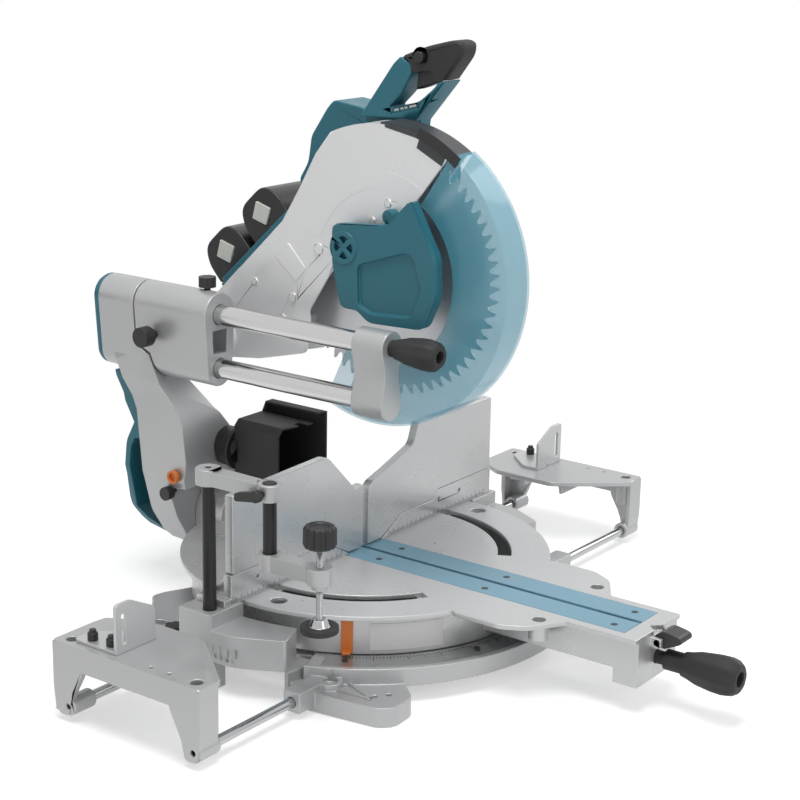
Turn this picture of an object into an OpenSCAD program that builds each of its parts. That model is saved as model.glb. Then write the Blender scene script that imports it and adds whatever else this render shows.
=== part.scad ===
// Sliding compound mitre saw for 305 mm blades, on its own cast base.
// Frame: origin on the mitre pivot axis in the plane the base stands on.
// +X is the operator's right, +Y points to the back of the saw, +Z is up. Millimetres.

/* [Base] */
// Radius of the front ring that carries the mitre scale
ring_r = 267; // [258:1:280]
// Height of the underside of the ring
ring_low = 20; // [12:1:24]
// Height of the flat that carries the mitre scale
ring_top = 40; // [36:1:42]
// Width of the ring's flat, measured along its radius
ring_width = 62; // [50:1:64]
// Half angle of the front ring, from straight ahead
ring_half_angle = 68; // [60:1:72]
// Distance of each bench bolt hole from the centre, sideways
bolt_x = 240; // [225:1:250]
// Distance of each bench bolt hole from the centre, front and back
bolt_y = 134; // [125:1:145]
// Radius of each bench bolt hole
bolt_hole_r = 4.5; // [3:0.5:6]
// Radius of the pivot bolt that the turntable turns on
pivot_bolt_r = 12; // [8:0.5:15]
// Width of the side blocks beside the table
side_w = 57; // [50:1:65]
// Depth of the block that carries each end of the fence
side_depth = 48; // [40:1:60]
// Height of the low front part of each side casting
side_low_h = 77; // [60:1:82]

/* [Turntable] */
// Height of the table surface
table_h = 95; // [90:1:105]
// Radius of the table surface
table_r = 236; // [225:1:238]
// Thickness of the table plate
table_plate = 6; // [5:0.5:8]
// Radius of the turntable's outer wall
wall_r = 221; // [212:1:223]
// Thickness of the turntable's outer wall
wall_t = 8; // [6:0.5:12]
// Middle radius of the two arc slots in the table
slot_mid_r = 178; // [168:1:182]
// Width of the two arc slots
slot_w = 17; // [12:1:20]
// Half width of the front arm
arm_half = 52; // [48:1:56]
// Distance of the front end of the arm from the pivot
arm_reach = 425; // [415:1:440]
// Half width of the pair of kerf boards
board_half = 39; // [34:1:42]
// Thickness of the kerf boards
board_t = 4; // [3:0.5:4.5]
// Half width of the gap between the kerf boards
kerf_half = 3; // [2.5:0.1:4]
// Distance from the front end of the kerf boards to the end of the turntable's arm
board_end = 23; // [18:1:40]

/* [Fence] */
// Thickness of the fence walls
fence_t = 12; // [10:0.5:12.5]
// Height of the lower fence over the table
lower_fence_h = 36; // [32:1:42]
// Height of the upper fence over the table
fence_h = 139; // [132:1:142]
// Outer end of the lower fences
lower_fence_x = 285; // [275:1:290]
// Half of the gap between the two fences
fence_gap = 5; // [4:0.5:8]
// Outer end of the upper fences
upper_fence_x = 255; // [240:1:258]

/* [Work supports] */
// Outer face of the left work support
left_out = 457; // [440:1:470]
// Outer face of the right work support
right_out = 483; // [450:1:490]
// Width of each work support
support_w = 106; // [95:1:112]
// Front end of the work supports, in front of the pivot
support_front = 131; // [126:1:140]
// Back end of the work supports, behind the pivot
support_back = 90; // [84:1:96]
// Depth of the work supports' skirt
support_skirt = 30; // [22:1:36]
// Radius of the sliding rods
rod_r = 6; // [5:0.5:7]
// Height of the sliding rods
rod_z = 19; // [16:1:22]
// Distance of the front rods in front of the pivot
rod_front = 120; // [116:1:122]
// Distance of the back rods behind the pivot
rod_back = 68; // [62:1:72]
// Height of the stop plates over the table
stop_h = 59; // [45:1:75]

/* [Clamp] */
// Distance of the clamp post from the inner wall of the side block
clamp_gap = 40; // [36:1:44]
// Position of the clamp post, behind the pivot
clamp_y = 14; // [12:1:20]
// Radius of both clamp posts
post_r = 8; // [6:0.5:8.5]
// Height of the top of the first post
post_top = 268; // [258:1:290]
// Distance between the two posts
post_step = 92; // [85:1:100]
// Distance from the second post to the screw
screw_step = 72; // [64:1:80]
// Height of the middle of the lower clamp arm
lower_arm_z = 176; // [165:1:190]
// Radius of the clamp screw
screw_r = 4; // [3:0.5:5]
// Height of the underside of the pressure pad
pad_z = 109; // [107:1:118]
// Radius of the pressure pad
pad_r = 22; // [18:1:26]

/* [Blade] */
// Radius of the saw blade
blade_r = 152.5; // [140:0.5:153]
// Thickness of the saw blade
blade_t = 2.2; // [1.8:0.1:3]
// Radius of the arbor that holds the blade
arbor_r = 12.7; // [10:0.1:15]
// Position of the blade's axis in front of the pivot
blade_front = 39; // [34:1:44]
// Height of the blade's axis with the head raised
blade_z = 460; // [455:1:466]

/* [Slide] */
// Distance of the slide poles to the left of the blade
pole_x = 95; // [92:1:98]
// Height of the upper slide pole
pole_up = 392; // [386:1:396]
// Height of the lower slide pole
pole_low = 323; // [319:1:327]
// Radius of the slide poles
pole_r = 12.5; // [11:0.5:13.5]
// Front face of the sliding carriage, behind the pivot
carriage_front = 160; // [156:1:166]
// Gap between the carriage and the arm's pole holder, behind the pivot
holder_front = 284; // [280:1:290]
// Back face of the arm's pole holder, behind the pivot
holder_back = 346; // [338:1:356]
// Outer radius of the carriage and the holder round the upper pole
housing_r = 28; // [26.5:0.5:30]
// Back face of the bracket that joins the front ends of the poles
bracket_back = 62; // [56:1:66]
// Thickness of that bracket
bracket_t = 46; // [38:1:50]

/* [Head] */
// Distance of the head's hinge behind the pivot
hinge_y = 215; // [212:1:217]
// Height of the head's hinge
hinge_z = 345; // [343:1:347]
// Radius of the head's hinge pin
hinge_pin_r = 10; // [8:0.5:12]
// Radius of the blade case
case_r = 181; // [178:1:181.5]
// Outer radius of the lower blade guard
guard_r = 186; // [185.5:0.5:190]
// Radius of the motor housing
motor_r = 54; // [48:1:58]
// Radius of the gripped part of the handle
grip_r = 16; // [14:0.5:18]

/* [Bevel] */
// Front face of the arm's bevel foot, behind the pivot
foot_front = 252; // [249:1:256]
// Radius of the bevel drum on the turntable
drum_r = 46; // [40:1:50]
// Radius of the bevel pin
bevel_pin_r = 10; // [8:0.5:12]

/* [Hidden] */
$fn = 64;
// Clearance of a shaft that turns or slides in its bore
running = 0.05;
// Gap between bodies that move past each other
free = 0.3;
// Gap between pieces bolted together
seat = 0.1;
blade_y = -blade_front;
plate_z = table_h - table_plate;
wall_bottom = ring_top + 1.6;
ring_inner = ring_r - ring_width;
side_inner = table_r + 4;
side_x = side_inner + side_w;
clamp_x = side_inner + clamp_gap;
board_reach = arm_reach - board_end;
back_foot_top = ring_top - 6;
// Width of the mitre scale, and its distance from the rim of the ring
scale_w = 34.5;
scale_edge = 8.5;
block_z = table_h;
spare_y = clamp_y + 18;
fence_z = table_h + 0.4;
poles_x = -pole_x;
hinge_r = 26;
case_left = -32;
case_plate = 3;
case_right = 8;
guard_t = 2;
guard_left = case_left - 0.4 - guard_t;
guard_right = case_right + case_plate + 0.4 + guard_t;
cover_left = -62;
cover_right = -44;
housing_low_r = 23;
motor_y = blade_y + 60;
motor_z = blade_z + 100;
motor_left = 26;
motor_right = 160;
handle_x = 30;
// Start and slope of the incline on which the batteries sit
back_y = blade_y + 214;
back_z = blade_z + 14;
back_angle = 43;
bat_left = 40;
bat_right = 134;

// ---------- helpers ----------
// Profiles drawn as (y, z), (x, z) or (x, y) and pulled along the axis that is left
module along_x(x0, x1) translate([x0, 0, 0]) rotate([90, 0, 90]) linear_extrude(x1 - x0) children();
module along_y(y0, y1) translate([0, y1, 0]) rotate([90, 0, 0]) linear_extrude(y1 - y0) children();
module along_z(z0, z1) translate([0, 0, z0]) linear_extrude(z1 - z0) children();
module bar_x(r, x0, x1, y, z) translate([x0, y, z]) rotate([0, 90, 0]) cylinder(r = r, h = x1 - x0);
module bar_y(r, y0, y1, x, z) translate([x, y1, z]) rotate([90, 0, 0]) cylinder(r = r, h = y1 - y0);
module bar_z(r, z0, z1, x, y) translate([x, y, z0]) cylinder(r = r, h = z1 - z0);
module block(x0, x1, y0, y1, z0, z1) translate([x0, y0, z0]) cube([x1 - x0, y1 - y0, z1 - z0]);
module spot(r, u, v) translate([u, v]) circle(r);
module pair() { children(); mirror([1, 0, 0]) children(); }

function flat(p) = [p[0], p[1]];
function unit(v) = v / norm(v);
function bend(q, a, s, r, n) =
    let (u = a + unit(q - a) * min(r, 0.45 * norm(q - a)), w = a + unit(s - a) * min(r,
    0.45 * norm(s - a)))
    [for (k = [0:n]) let (t = k / n) (1 - t) * (1 - t) * u + 2 * t * (1 - t) * a + t * t * w];
// Outline whose points may carry a corner size as a third number
function soft(p, n = 4) = [for (i = [0:len(p) - 1])
    let (a = flat(p[i]), q = flat(p[(i + len(p) - 1) % len(p)]), s = flat(p[(i + 1) % len(p)]),
         r = len(p[i]) > 2 ? p[i][2] : 0)
    each (r == 0 ? [a] : bend(q, a, s, r, n))];
// Points on an arc about (u, v); angles are counted from the +u direction
function arc(u, v, r, a0, a1, n = 12) = [for (i = [0:n]) let (a = a0 + (a1 - a0) * i / n)
    [u + r * cos(a), v + r * sin(a)]];
// Ring sector in the plane; a0 < a1 and less than 180 degrees apart
module sector(r0, r1, a0, a1) intersection() {
    difference() {
        circle(r1);
        circle(r0);
    }
    polygon(concat([[0, 0]], arc(0, 0, r1 * 1.5, a0, a1, 6)));
}

// ---------- base ----------
module side_outline() polygon(soft(concat(
    arc(0, 0, side_inner, -18, 0, 8),
    [[side_x, 0], [side_x, -34, 16], [side_x - 30, -91, 4], [side_x - 46, -85, 4]])));

module base_casting() color("silver") difference() {
    union() {
        along_z(ring_low, ring_top)
            sector(ring_inner, ring_r, -90 - ring_half_angle, -90 + ring_half_angle);
        along_z(ring_top, ring_top + 3)
            sector(ring_r - 8, ring_r, -90 - ring_half_angle, -90 + ring_half_angle);
        bar_z(222, ring_low + 8, ring_low + 16, 0, 0);
        bar_z(30, ring_low + 8, ring_top + 1, 0, 0);
        pair() base_side();
    }
    bar_z(pivot_bolt_r + seat, 0, table_h, 0, 0);
    // clamp post bores; the right one stands clear of the longer fence
    bar_z(post_r + running, block_z - 45, block_z + 1, -clamp_x, clamp_y);
    bar_z(post_r + running, block_z - 45, block_z + 1, clamp_x, spare_y);
    pair() {
        for (y = [-bolt_y, bolt_y]) {
            bar_z(bolt_hole_r, -1, ring_top + 5, bolt_x, y);
            bar_z(bolt_hole_r + 4, ring_low + 6, ring_top + 5, bolt_x, y);
        }
        bar_x(rod_r + running, 150, side_x + 20, -rod_front, rod_z);
        bar_x(rod_r + running, 150, side_x + 20, rod_back, rod_z);
        for (k = [0:3], bank = [0, 42])
            block(side_x - 3, side_x + 5, -38 + k * 9 - bank * 0.4, -34 + k * 9 - bank * 0.4, 44, 50);
        bar_z(3, ring_low - 2, ring_low + 10, 229, -190);
        bar_z(3.5, ring_low - 2, ring_low + 10, 216, -200);
        bar_z(knob_screw_r + running, rod_z, ring_top + 1, side_x - 14, rod_back);
    }
}

// Right half of what stands beside the ring: side casting, feet and rod bosses
module base_side() {
    difference() {
        union() {
            along_z(ring_top - 2, side_low_h) side_outline();
            block(side_inner - 25, side_x, -3, side_depth, ring_low + 8, block_z);
        }
        bar_z(side_inner, ring_low + 17, block_z + 1, 0, 0);
        translate([0, 0, ring_low]) cylinder(r = side_inner - 10, h = 10);
        // hollow under the low front part
        along_z(ring_top - 3, side_low_h - 8) polygon([[side_inner + 2, -8], [side_x - 7, -8],
            [side_x - 8, -36], [side_x - 38, -78], [side_inner + 1, -66]]);
    }
    block(side_x - 25, side_x, -3, clamp_y + 12, 0, block_z - 2);
    // front foot
    along_z(0, ring_low + 4) polygon(soft([[150, -170], [200, -110], [258, -84, 6], [268, -112, 8],
        [254, -214, 9], [239, -227, 9], [203, -224, 8], [172, -188, 6]]));
    bar_z(15, 0, ring_low + 12, bolt_x, -bolt_y);
    block(200, side_x - 4, -rod_front - 12, -rod_front + 12, rod_z - 12, rod_z + 13);
    along_z(0, ring_top - 2) polygon([[224, -66], [262, -84], [266, -92], [216, -100]]);
    // back foot, low enough for the tilted arm to pass over it
    along_z(ring_low + 6, back_foot_top)
        polygon(soft([[150, 40], [side_x - 14, 40], [side_x - 4, 82, 14],
        [256, 146, 14], [172, 204, 14], [120, 180]]));
    bar_z(16, 0, back_foot_top, bolt_x, bolt_y);
    bar_z(16, 0, back_foot_top, 176, 186);
    block(216, side_x, rod_back - 12, rod_back + 12, rod_z - 12, rod_z + 13);
}

module mitre_scale() color("gainsboro") along_z(ring_top, ring_top + 1.5)
    sector(ring_r - scale_edge - scale_w,
    ring_r - scale_edge, -90 - ring_half_angle + 4, -90 + ring_half_angle - 4);

module base_screws() color("dimgray") {
    for (a = [-58, -19, 19, 58]) rotate(a)
        bar_z(3.5, ring_top + 1.5, ring_top + 3.6, 0, -(wall_r + ring_r) / 2 + 3);
    pair() for (x = [side_inner + 14, side_inner + 25]) {
        bar_z(4, fence_z + 8, fence_z + 13, x, side_depth - 14);
    }
}

module pivot_bolt() color("darkgray") {
    bar_z(pivot_bolt_r, ring_low + 4, table_h - 26, 0, 0);
    bar_z(pivot_bolt_r + 8, ring_low, ring_low + 8 - seat, 0, 0);
}

// ---------- fences ----------
fence_step = fence_z + lower_fence_h;
toe_step = fence_step - 12;
pin_x = [112, 214];
pin_y = fence_t + 9;

// Right lower fence; outer is its far end
module lower_fence(outer) color("silver") difference() {
    union() {
        along_y(0, fence_t) polygon([[34, fence_z], [78, toe_step], [148, toe_step], [161, fence_step],
            [outer, fence_step], [outer, fence_z]]);
        block(side_inner + 3, side_inner + 30, 0, side_depth - 4, block_z + seat, fence_z + 8);
        block(90, side_inner + 10, fence_t, fence_t + 5, fence_z, fence_z + 12);
        for (x = [182, side_inner + 4]) along_x(x, x + 5)
            polygon([[fence_t - 1, fence_z + 5], [fence_t - 1, fence_step - 4],
            [fence_t + 5, fence_step - 4], [fence_t + 26, fence_z + 8], [fence_t + 5, fence_z + 5]]);
        for (x = pin_x) bar_z(9, fence_z, toe_step - 1, x, pin_y);
    }
    for (x = pin_x) bar_z(5 + running, fence_z - 1, fence_step, x, pin_y);
    for (x = [side_inner - 30, side_inner - 78]) bar_y(2.5, -1, 5, x, fence_z + 22);
}

module lower_fence_left() mirror([1, 0, 0]) lower_fence(side_inner + 18);
module lower_fence_right() lower_fence(lower_fence_x);

// Pins and lugs that carry an upper fence on the lower one
module fence_pins() for (x = pin_x) {
    bar_z(5, fence_z + 2, fence_step + 12, x, pin_y);
    block(x - 9, x + 9, fence_t - 1, pin_y + 8, fence_step + free, fence_step + 16);
}

// Lower edge that an upper fence shares with its lower fence
function toe_edge(inner) = [[inner, fence_z + 2], [34 - free * 2, fence_z + 2],
    [78 - free, toe_step + free],
    [148 - free, toe_step + free], [161 - free, fence_step + free]];

module upper_fence_left() color("silver") mirror([1, 0, 0]) {
    along_y(0, fence_t) polygon(soft(concat(toe_edge(fence_gap), [[upper_fence_x, fence_step + free, 3],
        [upper_fence_x, table_h + fence_h - 5, 3], [78, table_h + fence_h, 8], [22, table_h + 84, 3],
        [fence_gap, table_h + 86, 3]])));
    fence_pins();
}

module upper_fence_right() color("silver") {
    along_y(0, fence_t)
        polygon(soft(concat(toe_edge(fence_gap), [[upper_fence_x + 28, fence_step + free, 3],
        [upper_fence_x + 28, table_h + fence_h, 4], [112, table_h + fence_h + 2, 4],
        [102, table_h + 113, 8],
        [76, table_h + 104, 8], [46, table_h + 94, 12], [fence_gap, table_h + 82, 12]])));
    fence_pins();
}

// ---------- work supports ----------
support_foot = 8;
// Leg outline as seen from the side, s = -1 for the front leg and 1 for the back leg
function leg(end, s) = [for (p = [[0, table_h - 10], [0, 40], [-3, support_foot + 10, 6],
    [-8, support_foot, 4], [-23, support_foot, 4],
    [-28, 30, 6], [-46, table_h - support_skirt, 8], [-46, table_h - 10]])
    [s * (end + p[0]), p[1], len(p) > 2 ? p[2] : 0]];

module support(out) difference() {
    union() {
        along_z(table_h - 7, table_h) polygon(soft([[out, support_back, 5], [out - 82, support_back, 4],
            [out - support_w, support_back - 40, 6], [out - support_w, -42, 6],
            [out - 34, -support_front, 4], [out, -support_front, 5]]));
        block(out - 6, out, -support_front + 4, support_back - 4, table_h - support_skirt, table_h - 2);
        for (e = [[support_front, -1, rod_front], [support_back, 1, rod_back]]) {
            along_x(out - 8, out) polygon(soft(leg(e[0], e[1])));
            along_x(out - 30, out) polygon(soft([[e[1] * e[0], table_h - 2], [e[1] * e[0], 40],
                [e[1] * (e[0] - 3), support_foot + 4],
                [e[1] * (e[0] - 9), support_foot + 4], [e[1] * (e[0] - 6), 40],
                [e[1] * (e[0] - 6), table_h - 2]]));
            bar_x(11, out - 34, out - 1, e[1] * e[2], rod_z);
            bar_z(12, table_h - 40, table_h - 2, out - 15, e[1] * (e[0] - 17));
        }
        for (y = [-54, 10]) along_x(out - support_w + 14, out - 3)
            polygon([[y, table_h - 4], [y + 5, table_h - 4], [y + 5, table_h - 20], [y, table_h - 20]]);
    }
    for (e = [[support_front, -1, rod_front], [support_back, 1, rod_back]]) {
        bar_x(rod_r + seat, out - 40, out - 5, e[1] * e[2], rod_z);
        bar_x(3.5, out - 6, out + 1, e[1] * e[2], rod_z);
        bar_z(7, table_h - 41, table_h + 1, out - 15, e[1] * (e[0] - 17));
    }
    for (y = [-49, -76]) bar_z(2.5, table_h - 10, table_h + 1, out - 13, y);
}

module rods(out) for (y = [-rod_front, rod_back]) bar_x(rod_r, out - 262, out - 6, y, rod_z);

// Stop plate: a flange on the support and an upright in line with the fence
module stop(out) difference() {
    union() {
        along_z(table_h + seat, table_h + 4) polygon(soft([[out - 10, 1], [out - 10, 66, 6],
            [out - 36, 66, 6], [out - 72, 26, 6], [out - 72, 1]]));
        along_y(0, 4) polygon(soft([[out - 72, table_h + seat], [out - 72, table_h + stop_h - 19, 4],
            [out - 34, table_h + stop_h, 6],
            [out - 10, table_h + stop_h, 6], [out - 10, table_h + seat]]));
    }
    along_y(-1, 5) polygon(soft([[out - 26, table_h + 10, 3], [out - 26, table_h + 46, 3],
        [out - 19, table_h + 46, 3], [out - 19, table_h + 10, 3]]));
}

module stop_bolts(out) for (p = [[out - 20, 46], [out - 21, 18]]) {
    bar_z(6, table_h + 4 + seat, table_h + 13, p[0], p[1]);
    bar_z(4, table_h + 12, table_h + 17, p[0], p[1]);
}

module left_support() color("silver") mirror([1, 0, 0]) support(left_out);
module left_rods() color("lightsteelblue") mirror([1, 0, 0]) rods(left_out);
module left_stop() color("silver") mirror([1, 0, 0]) stop(left_out);
module left_stop_bolts() color("black") mirror([1, 0, 0]) stop_bolts(left_out);
module right_support() color("silver") support(right_out);
module right_rods() color("lightsteelblue") rods(right_out);
module right_stop() color("silver") stop(right_out);
module right_stop_bolts() color("black") stop_bolts(right_out);

// Knob whose screw clamps the back rod from above
knob_screw_r = 3;
module clamp_knob() {
    bar_z(knob_screw_r, rod_z + rod_r + free, ring_top + 9, side_x - 14, rod_back);
    translate([side_x - 14, rod_back, ring_top + 8]) linear_extrude(13) difference() {
        circle(12);
        for (a = [0:60:300]) rotate(a) translate([14, 0]) circle(4);
    }
}
module left_clamp_knob() color("black") mirror([1, 0, 0]) clamp_knob();
module right_clamp_knob() color("black") clamp_knob();

// ---------- workpiece clamp ----------
post2_y = clamp_y - post_step;
screw_y = post2_y - screw_step;
arm_low = post_top - 20;

module clamp_post() color("black") bar_z(post_r, block_z - 44, post_top - 1, -clamp_x, clamp_y);

module clamp_arm() color("silver") difference() {
    union() {
        bar_z(15, arm_low, post_top, -clamp_x, clamp_y);
        bar_z(14, arm_low, post_top, -clamp_x, post2_y);
        along_z(arm_low + 1.5, post_top - 1.5)
            polygon([[-clamp_x - 11, clamp_y], [-clamp_x + 11, clamp_y], [-clamp_x + 9, post2_y],
            [-clamp_x - 9, post2_y]]);
    }
    bar_z(post_r + seat, arm_low - 1, post_top - 1 + seat, -clamp_x, clamp_y);
    bar_z(4, post_top - 4, post_top + 1, -clamp_x, clamp_y);
    bar_z(post_r + running, arm_low - 1, post_top + 1, -clamp_x, post2_y);
    bar_x(3 + running, -clamp_x - 20, -clamp_x, post2_y, arm_low + 10);
}

module clamp_lever() color("black") {
    bar_x(3, -clamp_x - 20, -clamp_x - post_r - 0.5, post2_y, arm_low + 10);
    along_x(-clamp_x - 27, -clamp_x - 19) {
        translate([post2_y, arm_low + 10]) circle(7);
        polygon(soft([[post2_y - 3, arm_low + 16], [post2_y + 30, arm_low + 9, 4],
            [post2_y + 30, arm_low - 1, 4], [post2_y - 2, arm_low + 4]]));
    }
}

module clamp_lower_arm() {
    color("black") bar_z(post_r, lower_arm_z - 8, post_top + 1, -clamp_x, post2_y);
    color("silver") difference() {
        union() {
            along_z(lower_arm_z - 10, lower_arm_z + 10) {
                spot(13, -clamp_x, post2_y);
                spot(15, -clamp_x, screw_y);
                polygon([[-clamp_x - 10, post2_y], [-clamp_x + 10, post2_y], [-clamp_x + 8, screw_y],
                    [-clamp_x - 8, screw_y]]);
            }
            bar_z(screw_r + 5, lower_arm_z - 17, lower_arm_z, -clamp_x, screw_y);
        }
        bar_z(post_r + seat, lower_arm_z - 8 - seat, lower_arm_z + 11, -clamp_x, post2_y);
        bar_z(screw_r + running, lower_arm_z - 18, lower_arm_z + 11, -clamp_x, screw_y);
    }
}

module clamp_screw() {
    color("lightsteelblue") bar_z(screw_r, pad_z + 6, lower_arm_z + 34, -clamp_x, screw_y);
    color("black") {
        difference() {
            along_z(lower_arm_z + 32, lower_arm_z + 58) translate([-clamp_x, screw_y]) difference() {
                circle(19);
                for (a = [0:30:330]) rotate(a) translate([20.5, 0]) circle(2.8);
            }
            bar_z(screw_r + seat, lower_arm_z + 31, lower_arm_z + 34 + seat, -clamp_x, screw_y);
        }
    }
}

module clamp_pad() {
    color("black") difference() {
        bar_z(pad_r, pad_z, pad_z + 7, -clamp_x, screw_y);
        bar_z(pad_r - 9, pad_z + 3, pad_z + 8, -clamp_x, screw_y);
    }
    color("silver") difference() {
        union() {
            bar_z(pad_r - 9 - seat, pad_z + 3 + seat, pad_z + 7, -clamp_x, screw_y);
            translate([-clamp_x, screw_y, pad_z + 7])
                cylinder(r1 = pad_r - 10, r2 = screw_r + 4, h = 9);
        }
        bar_z(screw_r + running, pad_z + 5.5, pad_z + 17, -clamp_x, screw_y);
    }
}

// ---------- turntable ----------
arm_wall = arm_half - 6;
arm_low_z = 52;
end_low_z = 34;
end_back = arm_reach - 32;
bracket_y = 205;
grip_z = 59;
ear_x = 66;
ear_y = -304;
lever_pin_y = -arm_reach - 9;
lever_pin_z = 84;

module turntable() color("silver") difference() {
    union() {
        bar_z(table_r, plate_z, table_h, 0, 0);
        difference() {
            bar_z(wall_r, wall_bottom, plate_z + 1, 0, 0);
            bar_z(wall_r - wall_t, wall_bottom - 1, plate_z, 0, 0);
        }
        bar_z(30, wall_bottom, plate_z + 1, 0, 0);
        for (a = [0:60:300]) rotate(a) block(25, wall_r - 3, -3, 3, wall_bottom + 12, plate_z + 1);
        turntable_arm();
        // bevel drum behind the table
        bar_y(drum_r, bracket_y, foot_front - free, 0, table_h);
        block(-drum_r, drum_r, wall_r - 12, foot_front - free, arm_low_z, table_h);
    }
    bar_z(pivot_bolt_r + running, wall_bottom - 1, table_h - 25, 0, 0);
    // seat and throat of the kerf boards
    block(-board_half - seat, board_half + seat, -board_reach - seat, 56, table_h - board_t - seat,
        table_h + 1);
    block(-14, 14, -board_reach + 10, 48, plate_z - 9, table_h);
    pair() {
        along_z(plate_z - 1, table_h + 1)
            sector(slot_mid_r - slot_w / 2, slot_mid_r + slot_w / 2, -61, 1);
        bar_z(10, plate_z - 2, table_h + 1, slot_mid_r + 32, -32);
        bar_z(8, plate_z - 20, table_h + 1, ear_x, ear_y);
    }
    bar_y(bevel_pin_r + seat, bracket_y - 1, foot_front, 0, table_h);
    bar_y(8 + running, -arm_reach - 1, -end_back + 4, 0, grip_z);
    along_z(plate_z - 1, table_h + 1)
        polygon([[-12, -arm_reach - 1], [0, -arm_reach + 11], [12, -arm_reach - 1]]);
    bar_x(3 + running, -20, 20, lever_pin_y, lever_pin_z);
}

module turntable_arm() {
    // top plate with an ear at each side
    along_z(plate_z, table_h) {
        polygon([[-arm_half, -190], [arm_half, -190], [arm_half, -arm_reach], [-arm_half, -arm_reach]]);
        pair() polygon(soft([[arm_half - 5, -190], [arm_half + 46, -204], [arm_half + 58, -214, 4],
            [arm_half + 58, -276, 8],
            [arm_half + 42, -306, 8], [arm_half, -332, 10], [arm_half - 5, -336]]));
    }
    pair() {
        block(arm_wall - 6, arm_wall, -end_back - 4, -wall_r + 26, arm_low_z, plate_z + 1);
        bar_z(12, plate_z - 18, plate_z + 1, ear_x, ear_y);
        block(14 + free, 20, lever_pin_y - 5, -arm_reach + 1, lever_pin_z - 5, lever_pin_z + 5);
    }
    difference() {
        block(-arm_wall, arm_wall, -arm_reach, -end_back, end_low_z, plate_z + 1);
        block(-arm_wall + 6, arm_wall - 6, -arm_reach + 10, -end_back + 1, end_low_z + 44,
            plate_z - 10);
    }
    for (y = [-270, -330]) block(-arm_wall + 2, arm_wall - 2, y, y + 5, arm_low_z + 4, plate_z - 9);
}

module kerf_board(s) color("lightskyblue") difference() {
    translate([0, 0, table_h - board_t]) linear_extrude(board_t) mirror([s < 0 ? 1 : 0, 0])
        polygon([[kerf_half, -board_reach], [board_half, -board_reach], [board_half, 55.5],
        [kerf_half, 55.5]]);
    for (y = kerf_screw_y) bar_z(4.2, table_h - 2, table_h + 1, s * kerf_screw_x, y);
    for (y = kerf_screw_y) bar_z(2.2, table_h - board_t - 1, table_h + 1, s * kerf_screw_x, y);
}
kerf_screw_x = 24;
kerf_screw_y = [-board_reach + 22, -200, -40];

module kerf_boards() {
    kerf_board(-1);
    kerf_board(1);
}

module kerf_screws() color("black") for (x = [-kerf_screw_x, kerf_screw_x], y = kerf_screw_y) {
    bar_z(4, table_h - 2 + seat, table_h - 0.4, x, y);
    bar_z(2, table_h - board_t + seat, table_h - 1, x, y);
}

module mitre_pointer() color("darkorange") rotate(-58) {
    block(-7, 7, -wall_r - 4, -wall_r - seat, wall_bottom + 3, plate_z - 1);
    block(-5, 5, -wall_r - 11, -wall_r - 1, wall_bottom + 3, wall_bottom + 6);
}

module mitre_grip() color("black") {
    bar_y(8, -arm_reach - 28, -end_back - 6, 0, grip_z);
    bar_y(12, -arm_reach - 40, -arm_reach - 14, 0, grip_z);
    translate([0, -arm_reach - 38, grip_z]) rotate([90, 0, 0]) rotate_extrude()
        polygon(soft([[0, 0], [17, 0, 3], [20, 8, 4],
        [24, 42, 14], [23, 57, 10], [17, 68, 5], [0, 68]]));
}

module lock_lever() color("black") {
    bar_x(3, -20, 20, lever_pin_y, lever_pin_z);
    along_x(-14, 14) difference() {
        polygon(soft([[lever_pin_y + 6, lever_pin_z - 4, 2], [lever_pin_y + 6, lever_pin_z + 6, 3],
            [lever_pin_y - 4, lever_pin_z + 14, 5],
            [lever_pin_y - 26, lever_pin_z + 10, 5], [lever_pin_y - 28, lever_pin_z + 3, 4],
            [lever_pin_y - 6, lever_pin_z - 8, 3]]));
        translate([lever_pin_y, lever_pin_z]) circle(3);
    }
}

// ---------- bevel arm ----------
// Section of the carriage and of the pole holder, grown by g
module pill(g) polygon(concat(arc(poles_x, pole_up, housing_r + g, -4, 184, 16),
    arc(poles_x, pole_low, housing_low_r + g, 184, 356, 16)));

// The arm from the front, shrunk by g
module arm_front(g) polygon([[poles_x - housing_low_r + g, pole_low + 17 - g],
    [poles_x - housing_low_r + g, 304], [poles_x - 22 + g, 290], [poles_x - 14 + g, 266],
    [poles_x - 9 + g, 165], [-80 + g, 100], [-62 + g, 70 + g], [-40 + g, 50 + g], [36 - g, 50 + g],
    [54 - g, 80 + g], [56 - g, 112],
    [30 - g, 165 - g], [-40 - g, 250], [-67 - g, 296], [-67 - g, pole_low + 17 - g]]);

module arm_body() intersection() {
    along_y(190, holder_back) arm_front(0);
    along_x(-140, 70) polygon([[holder_front + 1, pole_low + 16], [262, pole_low + 5], [246, 291],
        [216, 242], [212, 188], [220, 150],
        [foot_front, 147], [foot_front, 52], [foot_front + 2, 50], [foot_front + 42, 56],
        [foot_front + 46, 107], [foot_front + 40, 165],
        [foot_front + 44, 248], [holder_back - 16, pole_low + 16]]);
}

module bevel_arm() color("silver") difference() {
    union() {
        difference() {
            arm_body();
            // hollow behind the front wall
            intersection() {
                along_y(190, holder_back + 9) arm_front(8);
                along_x(-140, 70) polygon([[274, 294], [256, 288], [227, 240], [222, 192], [230, 158],
                    [foot_front + 9, 155],
                    [foot_front + 9, 58], [foot_front + 60, 58], [foot_front + 60, 248],
                    [holder_back + 9, 294]]);
            }
        }
        along_y(holder_front, holder_back) pill(0);
        bar_y(bevel_pin_r + 12, foot_front, foot_front + 30, 0, table_h);
    }
    bar_y(bevel_pin_r + running, foot_front - 1, foot_front + 31, 0, table_h);
    for (z = [pole_low, pole_up]) bar_y(pole_r + seat, 240, holder_back - 6, poles_x, z);
    bar_x(pin_stem_r + running, latch_x - 9, latch_x + 12, latch_y, latch_z);
    bar_x(pin_stem_r + running, ring_x - 9, ring_x + 12, ring_y, ring_z);
}

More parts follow.
